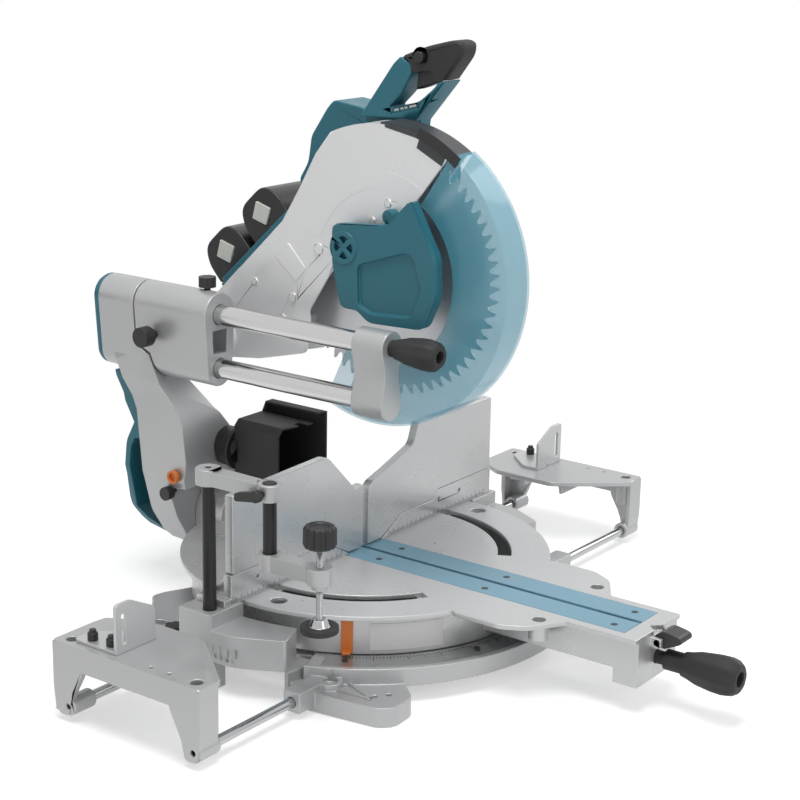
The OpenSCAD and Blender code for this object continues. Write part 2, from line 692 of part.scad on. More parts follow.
module bevel_pin() color("dimgray") {
    bar_y(bevel_pin_r, bracket_y, foot_front + 32, 0, table_h);
    bar_y(bevel_pin_r + 6, foot_front + 30 + free, foot_front + 37, 0, table_h);
}

module rear_cover() color("#15607a") intersection() {
    along_y(foot_front, holder_back + 40) arm_front(2);
    along_x(-140, 70) difference() {
        polygon(soft([[foot_front + 63 + seat, pole_low - housing_low_r - 2],
            [foot_front + 74, pole_low - housing_low_r - 2], [foot_front + 66, 255],
            [foot_front + 52, 228],
            [foot_front + 60, 214, 6], [foot_front + 68, 200, 8], [foot_front + 76, 150],
            [foot_front + 87, 104, 14], [foot_front + 78, 76, 14],
            [foot_front + 43, 56 + seat], [foot_front + 46 + seat, 107],
            [foot_front + 40 + seat, 165], [foot_front + 44 + seat, 248]]));
        polygon([[foot_front + 46, 70], [foot_front + 66, 84], [foot_front + 76, 100],
            [foot_front + 60, 192], [foot_front + 52, 206], [foot_front + 40, 206],
            [foot_front + 35, 165], [foot_front + 40, 107]]);
    }
}

module rear_cap() color("#15607a") {
    along_y(holder_back + seat, holder_back + 6) pill(-0.5);
    along_y(holder_back + 6, holder_back + 10) pill(-3);
    along_y(holder_back + 10, holder_back + 13) pill(-8);
}

module slide_poles() color("lightsteelblue") {
    bar_y(pole_r, -bracket_back - bracket_t + 18, holder_back - 7, poles_x, pole_low);
    difference() {
        bar_y(pole_r, -bracket_back - bracket_t + 12, holder_back - 7, poles_x, pole_up);
        bar_y(bevel_rod_r + running, -bracket_back - bracket_t + 11, -bracket_back, poles_x, pole_up);
    }
}
bevel_rod_r = 6;

module pole_bracket() color("silver") difference() {
    along_y(-bracket_back - bracket_t, -bracket_back)
        polygon(soft(concat(arc(poles_x, pole_up, 20, -8, 188, 16),
        [[poles_x - 13, (pole_up + pole_low) / 2, 8]], arc(poles_x, pole_low, 20, 172, 368, 16),
        [[poles_x + 13, (pole_up + pole_low) / 2, 8]])));
    for (z = [pole_low, pole_up])
        bar_y(pole_r + seat, -bracket_back - bracket_t + 10, -bracket_back + 1, poles_x, z);
    bar_y(bevel_rod_r + running, -bracket_back - bracket_t - 1, -bracket_back, poles_x, pole_up);
}

knob_y = -bracket_back - bracket_t - 12;
module bevel_knob() color("black") {
    bar_y(bevel_rod_r, knob_y - 2, -bracket_back - bracket_t + 22, poles_x, pole_up);
    bar_y(12, knob_y - 2, knob_y + 10, poles_x, pole_up);
    translate([poles_x, knob_y, pole_up]) rotate([90, 22.5, 0]) rotate_extrude($fn = 8)
        polygon(soft([[0, 0], [12, 0, 4],
        [20, 24, 12], [21.5, 41, 10], [17, 56, 6], [0, 56]]));
}

pin_stem_r = 3;
latch_x = poles_x - 1;
latch_y = 246;
latch_z = 142;
ring_x = poles_x - 9;
ring_y = 231;
ring_z = 168;

// Latch knob and release ring on the arm's left wall
module latch_knob() color("black") {
    bar_x(9, latch_x - 15, latch_x - 3, latch_y, latch_z);
    bar_x(pin_stem_r, latch_x - 4, latch_x + 7, latch_y, latch_z);
}

module release_ring() color("darkorange") {
    difference() {
        bar_x(9, ring_x - 8, ring_x - 2, ring_y, ring_z);
        bar_x(5.5, ring_x - 9, ring_x - 4, ring_y, ring_z);
    }
    bar_x(pin_stem_r, ring_x - 3, ring_x + 7, ring_y, ring_z);
}

// Rubber mouth behind the blade, open to the front, with a slot in its roof for the blade
chute_low = 152;
chute_back = 188;
chute_left = -38.5;
chute_right = 38.5;
elbow_x = -25;
elbow_z = 196;
module chute_section(g) polygon([[chute_left + g, chute_low + g], [chute_right - g, chute_low + g],
    [chute_right - g, chute_low + 98 - g],
    [24 - g * 0.6, chute_low + 98 - g], [17 - g * 0.6, chute_low + 86 - g],
    [chute_left + 8, chute_low + 86 - g], [chute_left + g, chute_low + 78 - g]]);

module dust_chute() color("black") difference() {
    along_y(80, chute_back) chute_section(0);
    along_y(79, chute_back - 3) chute_section(2.5);
    along_z(chute_low - 1, chute_low + 100) polygon([[chute_left - 1, 70], [chute_left - 1, 114],
        [chute_right + 1, 94], [chute_right + 1, 70]]);
    block(-6, 6, 90, 116, chute_low + 40, chute_low + 100);
    bar_y(20, chute_back - 5, chute_back + 1, elbow_x, elbow_z);
}

module dust_elbow() color("black") difference() {
    union() {
        bar_y(26, chute_back + seat, 232, elbow_x, elbow_z);
        bar_y(29, chute_back + seat, chute_back + 6, elbow_x, elbow_z);
    }
    bar_y(20, chute_back - 1, 233, elbow_x, elbow_z);
    arm_body();
}

// ---------- carriage ----------
link_low = pole_low + 2;
link_high = pole_up - 2;
lug_left = -60;
lug_right = 56;

module carriage() color("silver") difference() {
    union() {
        along_y(carriage_front, holder_front - 2) pill(0);
        along_z(link_low, link_high)
            polygon([[poles_x, 196], [lug_left + 22, 196], [lug_left + 22, 252], [poles_x, 252]]);
        bar_x(hinge_r, lug_left, lug_left + 22, hinge_y, hinge_z);
        bar_x(hinge_r, lug_right - 16, lug_right, hinge_y, hinge_z);
        block(lug_left, lug_right, hinge_y + 36, hinge_y + 62, hinge_z - 23, hinge_z + 20);
        for (x = [lug_left, lug_right - 16])
            block(x, x + (x < 0 ? 22 : 16), hinge_y, hinge_y + 40, hinge_z - 23, hinge_z + 20);
    }
    for (z = [pole_low, pole_up]) bar_y(pole_r + running, carriage_front - 1, holder_front, poles_x, z);
    bar_x(hinge_pin_r + seat, lug_left - 3, lug_right + 3, hinge_y, hinge_z);
    // lower back corner, where the arm reaches forward
    along_x(-140, -60) polygon([[holder_front + 1, 290], [243.5, 290], [259.5, pole_low + 8],
        [holder_front + 1, pole_low + 19]]);
    // recess between the poles in the front face
    along_y(carriage_front - 1, carriage_front + 24) polygon([[poles_x - 14, pole_up - 20],
        [poles_x + 14, pole_up - 20], [poles_x + 12, pole_low + 20], [poles_x - 12, pole_low + 20]]);
    bar_x(4 + running, poles_x - 40, poles_x - 14, stop_y, stop_z);
    bar_z(4 + running, pole_up + 14, pole_up + 40, poles_x + 6, carriage_front + 26);
}
stop_y = 248;
stop_z = 358;

module stop_knob() color("black") {
    bar_x(4, poles_x - 44, poles_x - 15, stop_y, stop_z);
    bar_x(13, poles_x - 53, poles_x - 37, stop_y, stop_z);
    bar_x(9, poles_x - 37, poles_x - 31, stop_y, stop_z);
}

module slide_lock_knob() color("black") {
    bar_z(4, pole_up + 15, pole_up + 32, poles_x + 6, carriage_front + 26);
    translate([poles_x + 6, carriage_front + 26, pole_up + 31]) linear_extrude(13) difference() {
        circle(11);
        for (a = [0:45:315]) rotate(a) translate([12.2, 0]) circle(2);
    }
}

module hinge_pin() color("dimgray") {
    bar_x(hinge_pin_r, lug_left - 2, lug_right + 2, hinge_y, hinge_z);
    bar_x(hinge_pin_r + 5, lug_right + seat, lug_right + 5, hinge_y, hinge_z);
}

// ---------- head ----------
module at_blade() translate([blade_y, blade_z]) children();
module ring_part(r0, r1, a0, a1) at_blade() sector(r0, r1, a0, a1);

module case_outline() at_blade() polygon(soft(concat([[-46, 85, 6]], arc(0, 0, case_r, 123, 65, 14),
    [[99, 136], [125, 90], [151, 48],
    [224, -23, 4], [277, -75, 6], [282, -115, 8], [275, -135, 6], [254, -143, 6], [189, -135, 4],
    [111, -115, 8], [105, -72, 4],
    [107, -60, 4], [75, -10, 6], [59, 9, 4], [34, 20, 4], [0, 38, 6]])));

module blade_case() color("#dde0e3") difference() {
    union() {
        along_x(case_left, case_left + case_plate) case_outline();
        along_x(case_right, case_right + case_plate) {
            case_outline();
            at_blade() circle(58);
        }
        // rim, back wall and web between the plates
        along_x(case_left + 1, case_right + 1) {
            ring_part(case_r - 3, case_r - 0.3, 65.5, 122.5);
            at_blade() {
                polygon([[77, 162], [99, 136], [125, 90], [151, 48], [224, -23], [277, -75],
                    [274, -78], [221, -26], [148, 46], [122, 88], [96, 134], [75, 160]]);
                polygon([[162, -60], [250, -60], [272, -78], [277, -110], [272, -130], [252, -138],
                    [189, -131], [162, -118]]);
            }
        }
        bar_x(hinge_r, lug_left + 22.5, lug_right - 16.5, hinge_y, hinge_z);
        // screws, pivots and the raised panel on the left face
        for (p = [[92, 20, 7], [10, 65, 4], [59, 14, 4], [133, -47, 6], [-13, 88, 5], [196, -35, 5],
            [150, -76, 5]])
            along_x(case_left - 1.8, case_left + 1) at_blade() translate([p[0], p[1]]) circle(p[2]);
        along_x(case_left - 1.2, case_left + 1) at_blade()
            polygon(soft([[141, 22, 4], [162, 2, 4], [128, -26, 4], [112, -8, 4]]));
    }
    bar_x(hinge_pin_r + running, lug_left, lug_right, hinge_y, hinge_z);
    bar_x(nose_bore, case_right - 2, case_right + case_plate + 1, blade_y, blade_z);
    along_x(case_left + case_plate, case_right) at_blade() circle(blade_r + 3);
}
nose_bore = 30;

module case_trim() color("#33383d") {
    along_x(case_left - 0.2, case_right + case_plate) ring_part(case_r + seat, case_r + 2.4, 86, 122);
}

module centre_cover() color("#1b6f86") difference() {
    union() {
        along_x(cover_left + 5, cover_right) cover_outline();
        along_x(cover_left + 2, cover_left + 6) intersection() {
            cover_outline();
            translate([1, -1]) cover_outline();
        }
        bar_x(20, cover_left, cover_right, blade_y + 32, blade_z + 33);
        bar_x(12, cover_right - 1, case_left - seat, blade_y + 34, blade_z + 42);
        bar_x(9, cover_right - 1, case_left - seat, blade_y - 22, blade_z + 74);
    }
    along_x(cover_left + 1, cover_left + 7) at_blade() polygon(soft([[12, 14, 8], [-60, 38, 8],
        [-70, 34, 6], [-82, -4, 6], [-68, -38, 8], [-10, -42, 6], [10, -34, 6]]));
    for (a = [45:90:315]) along_x(cover_left - 1, cover_left + 8)
        translate([blade_y + 32, blade_z + 33]) rotate(a) polygon([[3, 3], [13, 4], [10, 10], [4, 13]]);
}
module cover_outline() at_blade() polygon(soft([[50, 40, 16], [50, 60, 8], [-32, 67, 10],
    [-65, 101, 6], [-102, 35, 8], [-103, -13, 10],
    [-86, -51, 10], [-6, -54, 8], [12, -41, 6], [36, -41, 8], [50, 10, 10]]));

module lower_guard() color("#7fb2dd") {
    along_x(guard_left, guard_left + guard_t) ring_part(110, guard_r, 124, 295);
    along_x(guard_left + guard_t, guard_right - guard_t) ring_part(guard_r - 2, guard_r, 124, 295);
    along_x(guard_right - guard_t, guard_right) difference() {
        union() {
            ring_part(110, guard_r, 124, 295);
            ring_part(50, 110, 277, 293);
            at_blade() circle(57);
        }
        at_blade() circle(nose_r + running);
    }
    along_x(guard_left - 2, guard_left) ring_part(guard_r - 8, guard_r + 6, 108, 128);
}
nose_r = 45;

module blade() color("silver") difference() {
    bar_x(blade_r, -blade_t / 2, blade_t / 2, blade_y, blade_z);
    bar_x(arbor_r + seat, -2, 2, blade_y, blade_z);
}

module arbor() color("dimgray") {
    bar_x(arbor_r, -20, motor_left + 12, blade_y, blade_z);
    for (x = [-7, blade_t / 2 + seat]) bar_x(28, x, x + 6 - seat * 2, blade_y, blade_z);
    translate([-24, blade_y, blade_z]) rotate([0, 90, 0]) cylinder(r = 13, h = 10, $fn = 6);
}

motor_r2 = motor_r - 10;
module motor_housing() color("#1b6f86") difference() {
    union() {
        // gear case, motor barrel and its end cap
        bar_x(nose_r, case_right + case_plate, motor_left + 16, blade_y, blade_z);
        along_x(motor_left, motor_left + 18) at_blade()
            polygon([[-47, 5], [4, 118], [116, 82], [46, -6]]);
        bar_x(motor_r, motor_left, motor_right - 22, motor_y, motor_z);
        bar_x(motor_r - 3, motor_right - 23, motor_right - 8, motor_y, motor_z);
        bar_x(motor_r2, motor_right - 9, motor_right, motor_y, motor_z);
        // electronics box over the incline
        along_x(box_left, bat_right - 16) at_blade()
            polygon(soft([[60, 150, 8], [84, 180, 6], [104, 185, 6], [144, 190, 5], [154, 180, 5],
            [180, 142, 6], [185, 108, 8], [200, 84, 6], [178, 50], [150, 74], [118, 100], [90, 110]]));
        // incline, duct and the block that joins them to the case
        along_x(bat_left, bat_right - 4) incline()
            polygon([[-80, -8], [-80, bat_seat], [132, bat_seat], [132, 2], [60, -8]]);
        along_x(motor_left, duct_x + 14) incline()
            polygon(soft([[-60, -24, 6], [-60, bat_seat - 1], [114, bat_seat - 1], [114, -12, 10],
            [104, -24, 10]]));
        along_x(motor_left, box_left + 20) at_blade()
            polygon([[70, 96], [118, 62], [176, 66], [158, 104], [110, 120]]);
        along_x(case_right + case_plate, duct_x) at_blade()
            polygon([[206, -66], [246, -66], [268, -76], [250, -34], [232, -22], [206, 8]]);
        for (u = battery_u) along_x(bat_left + 4, bat_right - 10) incline()
            polygon([[u - 10, bat_seat - 1], [u + 10, bat_seat - 1], [u + 10, bat_seat + 5],
            [u - 10, bat_seat + 5]]);
    }
    bar_x(arbor_r + running, case_right, motor_left + 12 + free, blade_y, blade_z);
    for (a = [0:30:330]) along_x(motor_right - 3, motor_right + 1) translate([motor_y, motor_z])
        rotate(a) polygon([[16, -2], [36, -3], [36, 3], [16, 2]]);
}
duct_x = 46;
box_left = 60;
bat_seat = 12;
battery_u = [8, 94];
module incline() translate([back_y, back_z]) rotate(-back_angle) children();

// Battery whose middle is at u along the incline
module battery(u) color("#202428") difference() {
    along_x(bat_left, bat_right) incline()
        polygon(soft([[u - 37, bat_seat + free, 3], [u + 37, bat_seat + free, 3], [u + 37, 44, 12],
        [u + 24, 66, 14], [u - 24, 66, 14], [u - 37, 44, 12]]));
    along_x(bat_left + 4 - free, bat_right + 1) incline()
        polygon([[u - 10 - free, bat_seat - 1], [u + 10 + free, bat_seat - 1],
        [u + 10 + free, bat_seat + 5 + free], [u - 10 - free, bat_seat + 5 + free]]);
    along_x(bat_left - 1, bat_left + 8) incline() release_outline(u, free);
}
module release_outline(u, g)
    polygon([[u - 17 - g, 34 - g], [u + 4 + g, 22 - g], [u + 17 + g, 43 + g], [u - 4 - g, 56 + g]]);
module release(u) color("#d9d9cf") along_x(bat_left - 1.5, bat_left + 4) incline()
    release_outline(u, 0);

module battery_upper() battery(battery_u[0]);
module battery_lower() battery(battery_u[1]);
module upper_release() release(battery_u[0]);
module lower_release() release(battery_u[1]);

grip_left = handle_x - grip_r;
grip_right = handle_x + grip_r;

module handle() color("#1b6f86") difference() {
    union() {
        along_x(grip_left, grip_right) at_blade()
            polygon(soft([[67, 181], [18, 247, 4], [8, 256 - seat], [-8, 248], [-10, 238], [3, 214, 4],
            [24, 194, 6], [-20, 204, 6], [-42, 222, 6], [-48, 230 - seat], [-60, 232], [-17, 181]]));
        along_x(motor_left, grip_right) at_blade()
            polygon([[67, 181.5], [-17, 181.5], [-6, 100], [60, 120]]);
    }
    bar_x(motor_r + seat, motor_left - 1, grip_right + 1, motor_y, motor_z);
    along_x(motor_left - 1, motor_left + 18 + seat) at_blade()
        polygon([[-48.5, 3], [3.6, 118.5], [118, 81.8], [46, -6]]);
    along_x(grip_left - 1, grip_left + 1) at_blade()
        polygon(soft([[21, 186, 2], [-22, 197, 2], [-19, 204, 2], [14, 196, 2]]));
}

// Rubber grip between the two posts of the handle
module hand_grip() color("#25282c") difference() {
    along_x(grip_left, grip_right) at_blade()
        polygon(soft([[8, 256], [-31, 270.5, 10], [-70, 280, 10], [-83, 277, 9], [-82, 262, 8],
        [-60, 233 + seat], [-48, 230 + seat], [-38, 243, 4], [-10 - seat, 238], [-8 - seat, 248]]));
    along_x(handle_x - 6, handle_x + 6) at_blade()
        polygon([[-50, 226], [-1, 226], [-9, 249], [-36, 258], [-49, 247]]);
    bar_x(button_r + free, grip_left - 1, grip_left + 12, blade_y - 23, blade_z + 257);
}
button_r = 7;

module trigger() color("#25282c") along_x(handle_x - 6 + free, handle_x + 6 - free) at_blade()
    polygon(soft([[-12, 238], [-10, 217, 4], [-24, 221, 4], [-41, 228, 4], [-44, 236, 3],
    [-38.5, 247]]));

module lock_off_button() color("#25282c")
    bar_x(button_r, grip_left - 6, grip_left + 8, blade_y - 23, blade_z + 257);

// ---------- pieces ----------
base_casting();
mitre_scale();
base_screws();
pivot_bolt();
lower_fence_left();
lower_fence_right();
left_support();
left_rods();
left_stop();
left_stop_bolts();
left_clamp_knob();
right_support();
right_rods();
right_stop();
right_stop_bolts();
right_clamp_knob();
upper_fence_left();
upper_fence_right();
clamp_post();
clamp_arm();
clamp_lever();
clamp_lower_arm();
clamp_screw();
clamp_pad();
turntable();
kerf_boards();
kerf_screws();
mitre_pointer();
mitre_grip();
lock_lever();
bevel_pin();
bevel_arm();
rear_cover();
rear_cap();
slide_poles();
pole_bracket();
bevel_knob();
stop_knob();
slide_lock_knob();
latch_knob();
release_ring();
dust_chute();
dust_elbow();
carriage();
hinge_pin();
blade_case();
case_trim();
motor_housing();
handle();
hand_grip();
trigger();
lock_off_button();
centre_cover();
blade();
arbor();
lower_guard();
battery_upper();
battery_lower();
upper_release();
lower_release();
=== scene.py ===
import bpy
import bmesh
import math
from mathutils import Matrix, Vector
from mathutils.bvhtree import BVHTree


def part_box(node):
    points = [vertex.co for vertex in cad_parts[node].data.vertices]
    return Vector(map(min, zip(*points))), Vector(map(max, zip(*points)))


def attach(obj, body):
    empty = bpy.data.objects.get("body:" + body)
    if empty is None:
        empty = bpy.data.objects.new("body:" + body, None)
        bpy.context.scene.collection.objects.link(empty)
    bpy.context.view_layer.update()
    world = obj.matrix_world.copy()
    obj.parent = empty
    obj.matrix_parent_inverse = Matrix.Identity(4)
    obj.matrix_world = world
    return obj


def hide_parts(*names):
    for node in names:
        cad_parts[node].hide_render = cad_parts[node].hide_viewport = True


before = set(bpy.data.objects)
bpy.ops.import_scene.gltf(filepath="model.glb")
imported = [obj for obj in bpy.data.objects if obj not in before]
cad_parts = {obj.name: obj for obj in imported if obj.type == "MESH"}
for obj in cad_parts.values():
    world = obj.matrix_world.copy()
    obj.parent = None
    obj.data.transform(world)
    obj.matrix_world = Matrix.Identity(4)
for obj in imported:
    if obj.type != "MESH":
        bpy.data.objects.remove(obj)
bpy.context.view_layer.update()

# The studio: a plain pale floor that runs out to white, one large soft lamp overhead and weaker ones
# in front and on the right. The camera stands round to the saw's left and looks a little down on it.
turn, lift, lean = math.radians(-53.8), math.radians(15.6), math.radians(1.0)
eye = (-1.7756, -1.3503, 0.9134)
back = Vector((math.sin(turn) * math.cos(lift), -math.cos(turn) * math.cos(lift), math.sin(lift)))
level = Vector((0, 0, 1)).cross(back).normalized()
upright = back.cross(level)
right = level * math.cos(lean) + upright * math.sin(lean)
over = upright * math.cos(lean) - level * math.sin(lean)
lens = bpy.data.cameras.new("camera")
lens.sensor_width = 36
lens.lens = 83.24
lens.clip_start = 0.05
camera = bpy.data.objects.new("camera", lens)
facing = Matrix((right, over, back)).transposed().to_4x4()
camera.matrix_world = Matrix.Translation(eye) @ facing
bpy.context.scene.collection.objects.link(camera)
bpy.context.scene.camera = camera
bpy.context.scene.view_settings.view_transform = "Standard"


def straight_rays(nodes, links):
    """Gives 1 to rays that reach the eye directly or by metal or glass, and 0 to the light they gather."""
    rays = nodes.new("ShaderNodeLightPath")
    seen = nodes.new("ShaderNodeMath")
    seen.operation = "MAXIMUM"
    bounced = nodes.new("ShaderNodeMath")
    bounced.operation = "MAXIMUM"
    links.new(rays.outputs["Is Glossy Ray"], bounced.inputs[0])
    links.new(rays.outputs["Is Transmission Ray"], bounced.inputs[1])
    links.new(rays.outputs["Is Camera Ray"], seen.inputs[0])
    links.new(bounced.outputs[0], seen.inputs[1])
    return seen.outputs[0]


sky = bpy.data.worlds.new("studio")
bpy.context.scene.world = sky
sky.use_nodes = True
sky_nodes, sky_links = sky.node_tree.nodes, sky.node_tree.links
strength = sky_nodes.new("ShaderNodeMapRange")
strength.inputs["To Min"].default_value = 0.36
strength.inputs["To Max"].default_value = 1.0
sky_links.new(straight_rays(sky_nodes, sky_links), strength.inputs["Value"])
sky_links.new(strength.outputs["Result"], sky_nodes["Background"].inputs["Strength"])
sky_nodes["Background"].inputs["Color"].default_value = (1, 1, 1, 1)


def lamp(name, place, target, size, watts):
    """A round soft lamp that hangs at one place and faces another."""
    light = bpy.data.lights.new(name, "AREA")
    light.shape = "DISK"
    light.size = size
    light.energy = watts
    obj = bpy.data.objects.new(name, light)
    aim = (Vector(place) - Vector(target)).to_track_quat("Z", "Y").to_matrix().to_4x4()
    obj.matrix_world = Matrix.Translation(place) @ aim
    bpy.context.scene.collection.objects.link(obj)


lamp("key_lamp", (-0.7, -0.3, 3.0), (0, 0, 0.2), 1.5, 40)
lamp("front_lamp", (-0.4, -2.8, 1.7), (0, 0, 0.3), 1.6, 10)
lamp("side_lamp", (2.6, -0.6, 1.6), (0, 0, 0.3), 1.4, 14)

floor_mesh = bpy.data.meshes.new("floor")
floor_reach, floor_z = 9, -0.0005
floor_corners = [(x * floor_reach, y * floor_reach, floor_z) for x, y in ((-1, -1), (1, -1), (1, 1), (-1, 1))]
floor_mesh.from_pydata(floor_corners, [], [(0, 1, 2, 3)])
floor = bpy.data.objects.new("floor", floor_mesh)
bpy.context.scene.collection.objects.link(floor)
paper = bpy.data.materials.new("floor_paper")
paper.use_nodes = True
paper_nodes, paper_links = paper.node_tree.nodes, paper.node_tree.links
paper_nodes["Principled BSDF"].inputs["Base Color"].default_value = (0.93, 0.93, 0.93, 1)
paper_nodes["Principled BSDF"].inputs["Roughness"].default_value = 0.9
glow = paper_nodes.new("ShaderNodeEmission")
direct = straight_rays(paper_nodes, paper_links)
amount = paper_nodes.new("ShaderNodeMath")
amount.operation = "MULTIPLY"
amount.inputs[1].default_value = 0.42
paper_links.new(direct, amount.inputs[0])
paper_links.new(amount.outputs[0], glow.inputs["Strength"])
both = paper_nodes.new("ShaderNodeAddShader")
paper_links.new(paper_nodes["Principled BSDF"].outputs[0], both.inputs[0])
paper_links.new(glow.outputs[0], both.inputs[1])
# away from the saw the paper melts into the white round it
white = paper_nodes.new("ShaderNodeEmission")
where = paper_nodes.new("ShaderNodeTexCoord")
distance = paper_nodes.new("ShaderNodeVectorMath")
distance.operation = "LENGTH"
paper_links.new(where.outputs["Object"], distance.inputs[0])
fade = paper_nodes.new("ShaderNodeMapRange")
fade.interpolation_type = "SMOOTHSTEP"
fade.inputs["From Min"].default_value = 0.45
fade.inputs["From Max"].default_value = 0.95
paper_links.new(distance.outputs["Value"], fade.inputs["Value"])
far = paper_nodes.new("ShaderNodeMath")
far.operation = "MULTIPLY"
paper_links.new(fade.outputs["Result"], far.inputs[0])
paper_links.new(direct, far.inputs[1])
melt = paper_nodes.new("ShaderNodeMixShader")
paper_links.new(far.outputs[0], melt.inputs["Fac"])
paper_links.new(both.outputs[0], melt.inputs[1])
paper_links.new(white.outputs[0], melt.inputs[2])
paper_links.new(melt.outputs[0], paper_nodes["Material Output"].inputs["Surface"])
floor.data.materials.append(paper)

# a dark card out of the picture, which gives the polished poles their dark edges
card_mesh = bpy.data.meshes.new("dark_card")
card_half, card_y, card_top = 2.6, 2.4, 0.75
card_corners = [(-card_half, card_y, 0.0), (card_half, card_y, 0.0), (card_half, card_y, card_top),
                (-card_half, card_y, card_top)]
card_mesh.from_pydata(card_corners, [], [(0, 1, 2, 3)])
card = bpy.data.objects.new("dark_card", card_mesh)
bpy.context.scene.collection.objects.link(card)
card.visible_camera = card.visible_diffuse = card.visible_shadow = card.visible_transmission = False
black_card = bpy.data.materials.new("black_card")
black_card.use_nodes = True
black_card.node_tree.nodes["Principled BSDF"].inputs["Base Color"].default_value = (0.02, 0.02, 0.02, 1)
card_mesh.materials.append(black_card)


# The base: one aluminium sand casting with a mitre ring at the front, a wall for the table to turn
# in, a post block at each side and four feet. It is sprayed silver, and its cast skin shows through.
def surface(name, colour, metal, rough, cloud=0.05, cloud_size=0.05, grain=0.2, grain_size=0.0012):
    """A finish with slow changes of tone and gloss, and a fine grain that stands up from the skin."""
    finish = bpy.data.materials.new(name)
    finish.use_nodes = True
    nodes, links = finish.node_tree.nodes, finish.node_tree.links
    skin = nodes["Principled BSDF"]
    place = nodes.new("ShaderNodeTexCoord")
    broad = nodes.new("ShaderNodeTexNoise")
    broad.inputs["Scale"].default_value = 1 / cloud_size
    broad.inputs["Detail"].default_value = 4
    links.new(place.outputs["Object"], broad.inputs["Vector"])
    tone = nodes.new("ShaderNodeMix")
    tone.data_type = "RGBA"
    tone.inputs["A"].default_value = (*[c * (1 - cloud) for c in colour], 1)
    tone.inputs["B"].default_value = (*[min(1, c * (1 + cloud)) for c in colour], 1)
    links.new(broad.outputs["Fac"], tone.inputs["Factor"])
    links.new(tone.outputs["Result"], skin.inputs["Base Color"])
    gloss = nodes.new("ShaderNodeMapRange")
    gloss.inputs["From Min"].default_value = 0.3
    gloss.inputs["From Max"].default_value = 0.7
    gloss.inputs["To Min"].default_value = max(0.02, rough - 0.07)
    gloss.inputs["To Max"].default_value = rough + 0.07
    links.new(broad.outputs["Fac"], gloss.inputs["Value"])
    links.new(gloss.outputs["Result"], skin.inputs["Roughness"])
    skin.inputs["Metallic"].default_value = metal
    fine = nodes.new("ShaderNodeTexNoise")
    fine.inputs["Scale"].default_value = 1 / grain_size
    fine.inputs["Detail"].default_value = 2
    links.new(place.outputs["Object"], fine.inputs["Vector"])
    bump = nodes.new("ShaderNodeBump")
    bump.inputs["Strength"].default_value = grain
    bump.inputs["Distance"].default_value = grain_size * 0.25
    links.new(fine.outputs["Fac"], bump.inputs["Height"])
    links.new(bump.outputs["Normal"], skin.inputs["Normal"])
    return finish


def rounded(mesh, radius, largest):
    """Joins each flat face again, and marks how far every sharp edge can be rounded in its place.
    Faces with more corners than largest are cut into triangles."""
    weld, flat, crease = 2e-6, math.radians(0.5), math.radians(30)
    share = 0.4
    in_line = -0.8
    work = bmesh.new()
    work.from_mesh(mesh)
    bmesh.ops.remove_doubles(work, verts=work.verts, dist=weld)
    bmesh.ops.dissolve_degenerate(work, edges=work.edges, dist=weld)
    bmesh.ops.dissolve_limit(work, angle_limit=flat, verts=work.verts, edges=work.edges)
    layers = work.edges.layers.float
    weight = layers.get("bevel_weight_edge") or layers.new("bevel_weight_edge")
    bend = {e: e.calc_face_angle(0) for e in work.edges if len(e.link_faces) == 2}
    sharp = {e for e, angle in bend.items() if angle > crease}
    for edge in sharp:
        room = radius
        for vert in edge.verts:
            along = (edge.other_vert(vert).co - vert.co).normalized()
            for other in vert.link_edges:
                if other is edge:
                    continue
                away = (other.other_vert(vert).co - vert.co).normalized()
                if other in sharp and along.dot(away) < in_line:
                    continue
                room = min(room, other.calc_length() * share)
        edge[weight] = max(0.0, min(1.0, room / radius))
    if largest:
        bmesh.ops.triangulate(work, faces=[f for f in work.faces if len(f.verts) > largest])
    work.to_mesh(mesh)
    work.free()


def settle(obj, radius):
    """Takes the rounding off any edge where it would stand away from the shape that it rounds."""
    mesh = obj.data
    plain = [v.co.copy() for v in mesh.vertices]
    shape = BVHTree.FromPolygons(plain, [tuple(p.vertices) for p in mesh.polygons])
    soft = mesh.attributes["bevel_weight_edge"].data
    ends = [(plain[e.vertices[0]], plain[e.vertices[1]]) for e in mesh.edges]
    allowed, spread = radius * 0.6, radius * 2.5
    for attempt in range(3):
        made = obj.evaluated_get(bpy.context.evaluated_depsgraph_get()).to_mesh()
        stray = []
        for vert in made.vertices:
            gap = shape.find_nearest(vert.co)[3]
            if gap > allowed:
                stray.append((vert.co.copy(), gap))
        if not stray:
            return
        for index, (a, b) in enumerate(ends):
            if soft[index].value <= 0:
                continue
            line = b - a
            size = max(line.length_squared, 1e-12)
            for spot, gap in stray:
                part = max(0.0, min(1.0, (spot - a).dot(line) / size))
                if (a + line * part - spot).length < gap + spread:
                    soft[index].value = 0.0
                    break
        mesh.update_tag()


def shaded(obj):
    """Fixes the rounding into the mesh, then shades flats flat and curves smooth by their size."""
    made = bpy.data.meshes.new_from_object(obj.evaluated_get(bpy.context.evaluated_depsgraph_get()))
    obj.modifiers.clear()
    obj.data = made
    made.shade_smooth()
    made.set_sharp_from_angle(angle=math.radians(50))
    tone = obj.modifiers.new("shading", "WEIGHTED_NORMAL")
    tone.mode = "FACE_AREA"
    tone.keep_sharp = True
    return obj


def piece(name, mesh, body, finish, slot, *nodes):
    """Puts a finished mesh on its moving body, in place of the solids that it stands for."""
    obj = bpy.data.objects.new(name, mesh)
    bpy.context.scene.collection.objects.link(obj)
    mesh.materials.clear()
    mesh.materials.append(finish)
    if nodes:
        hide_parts(*nodes)
    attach(obj, body)
    return obj


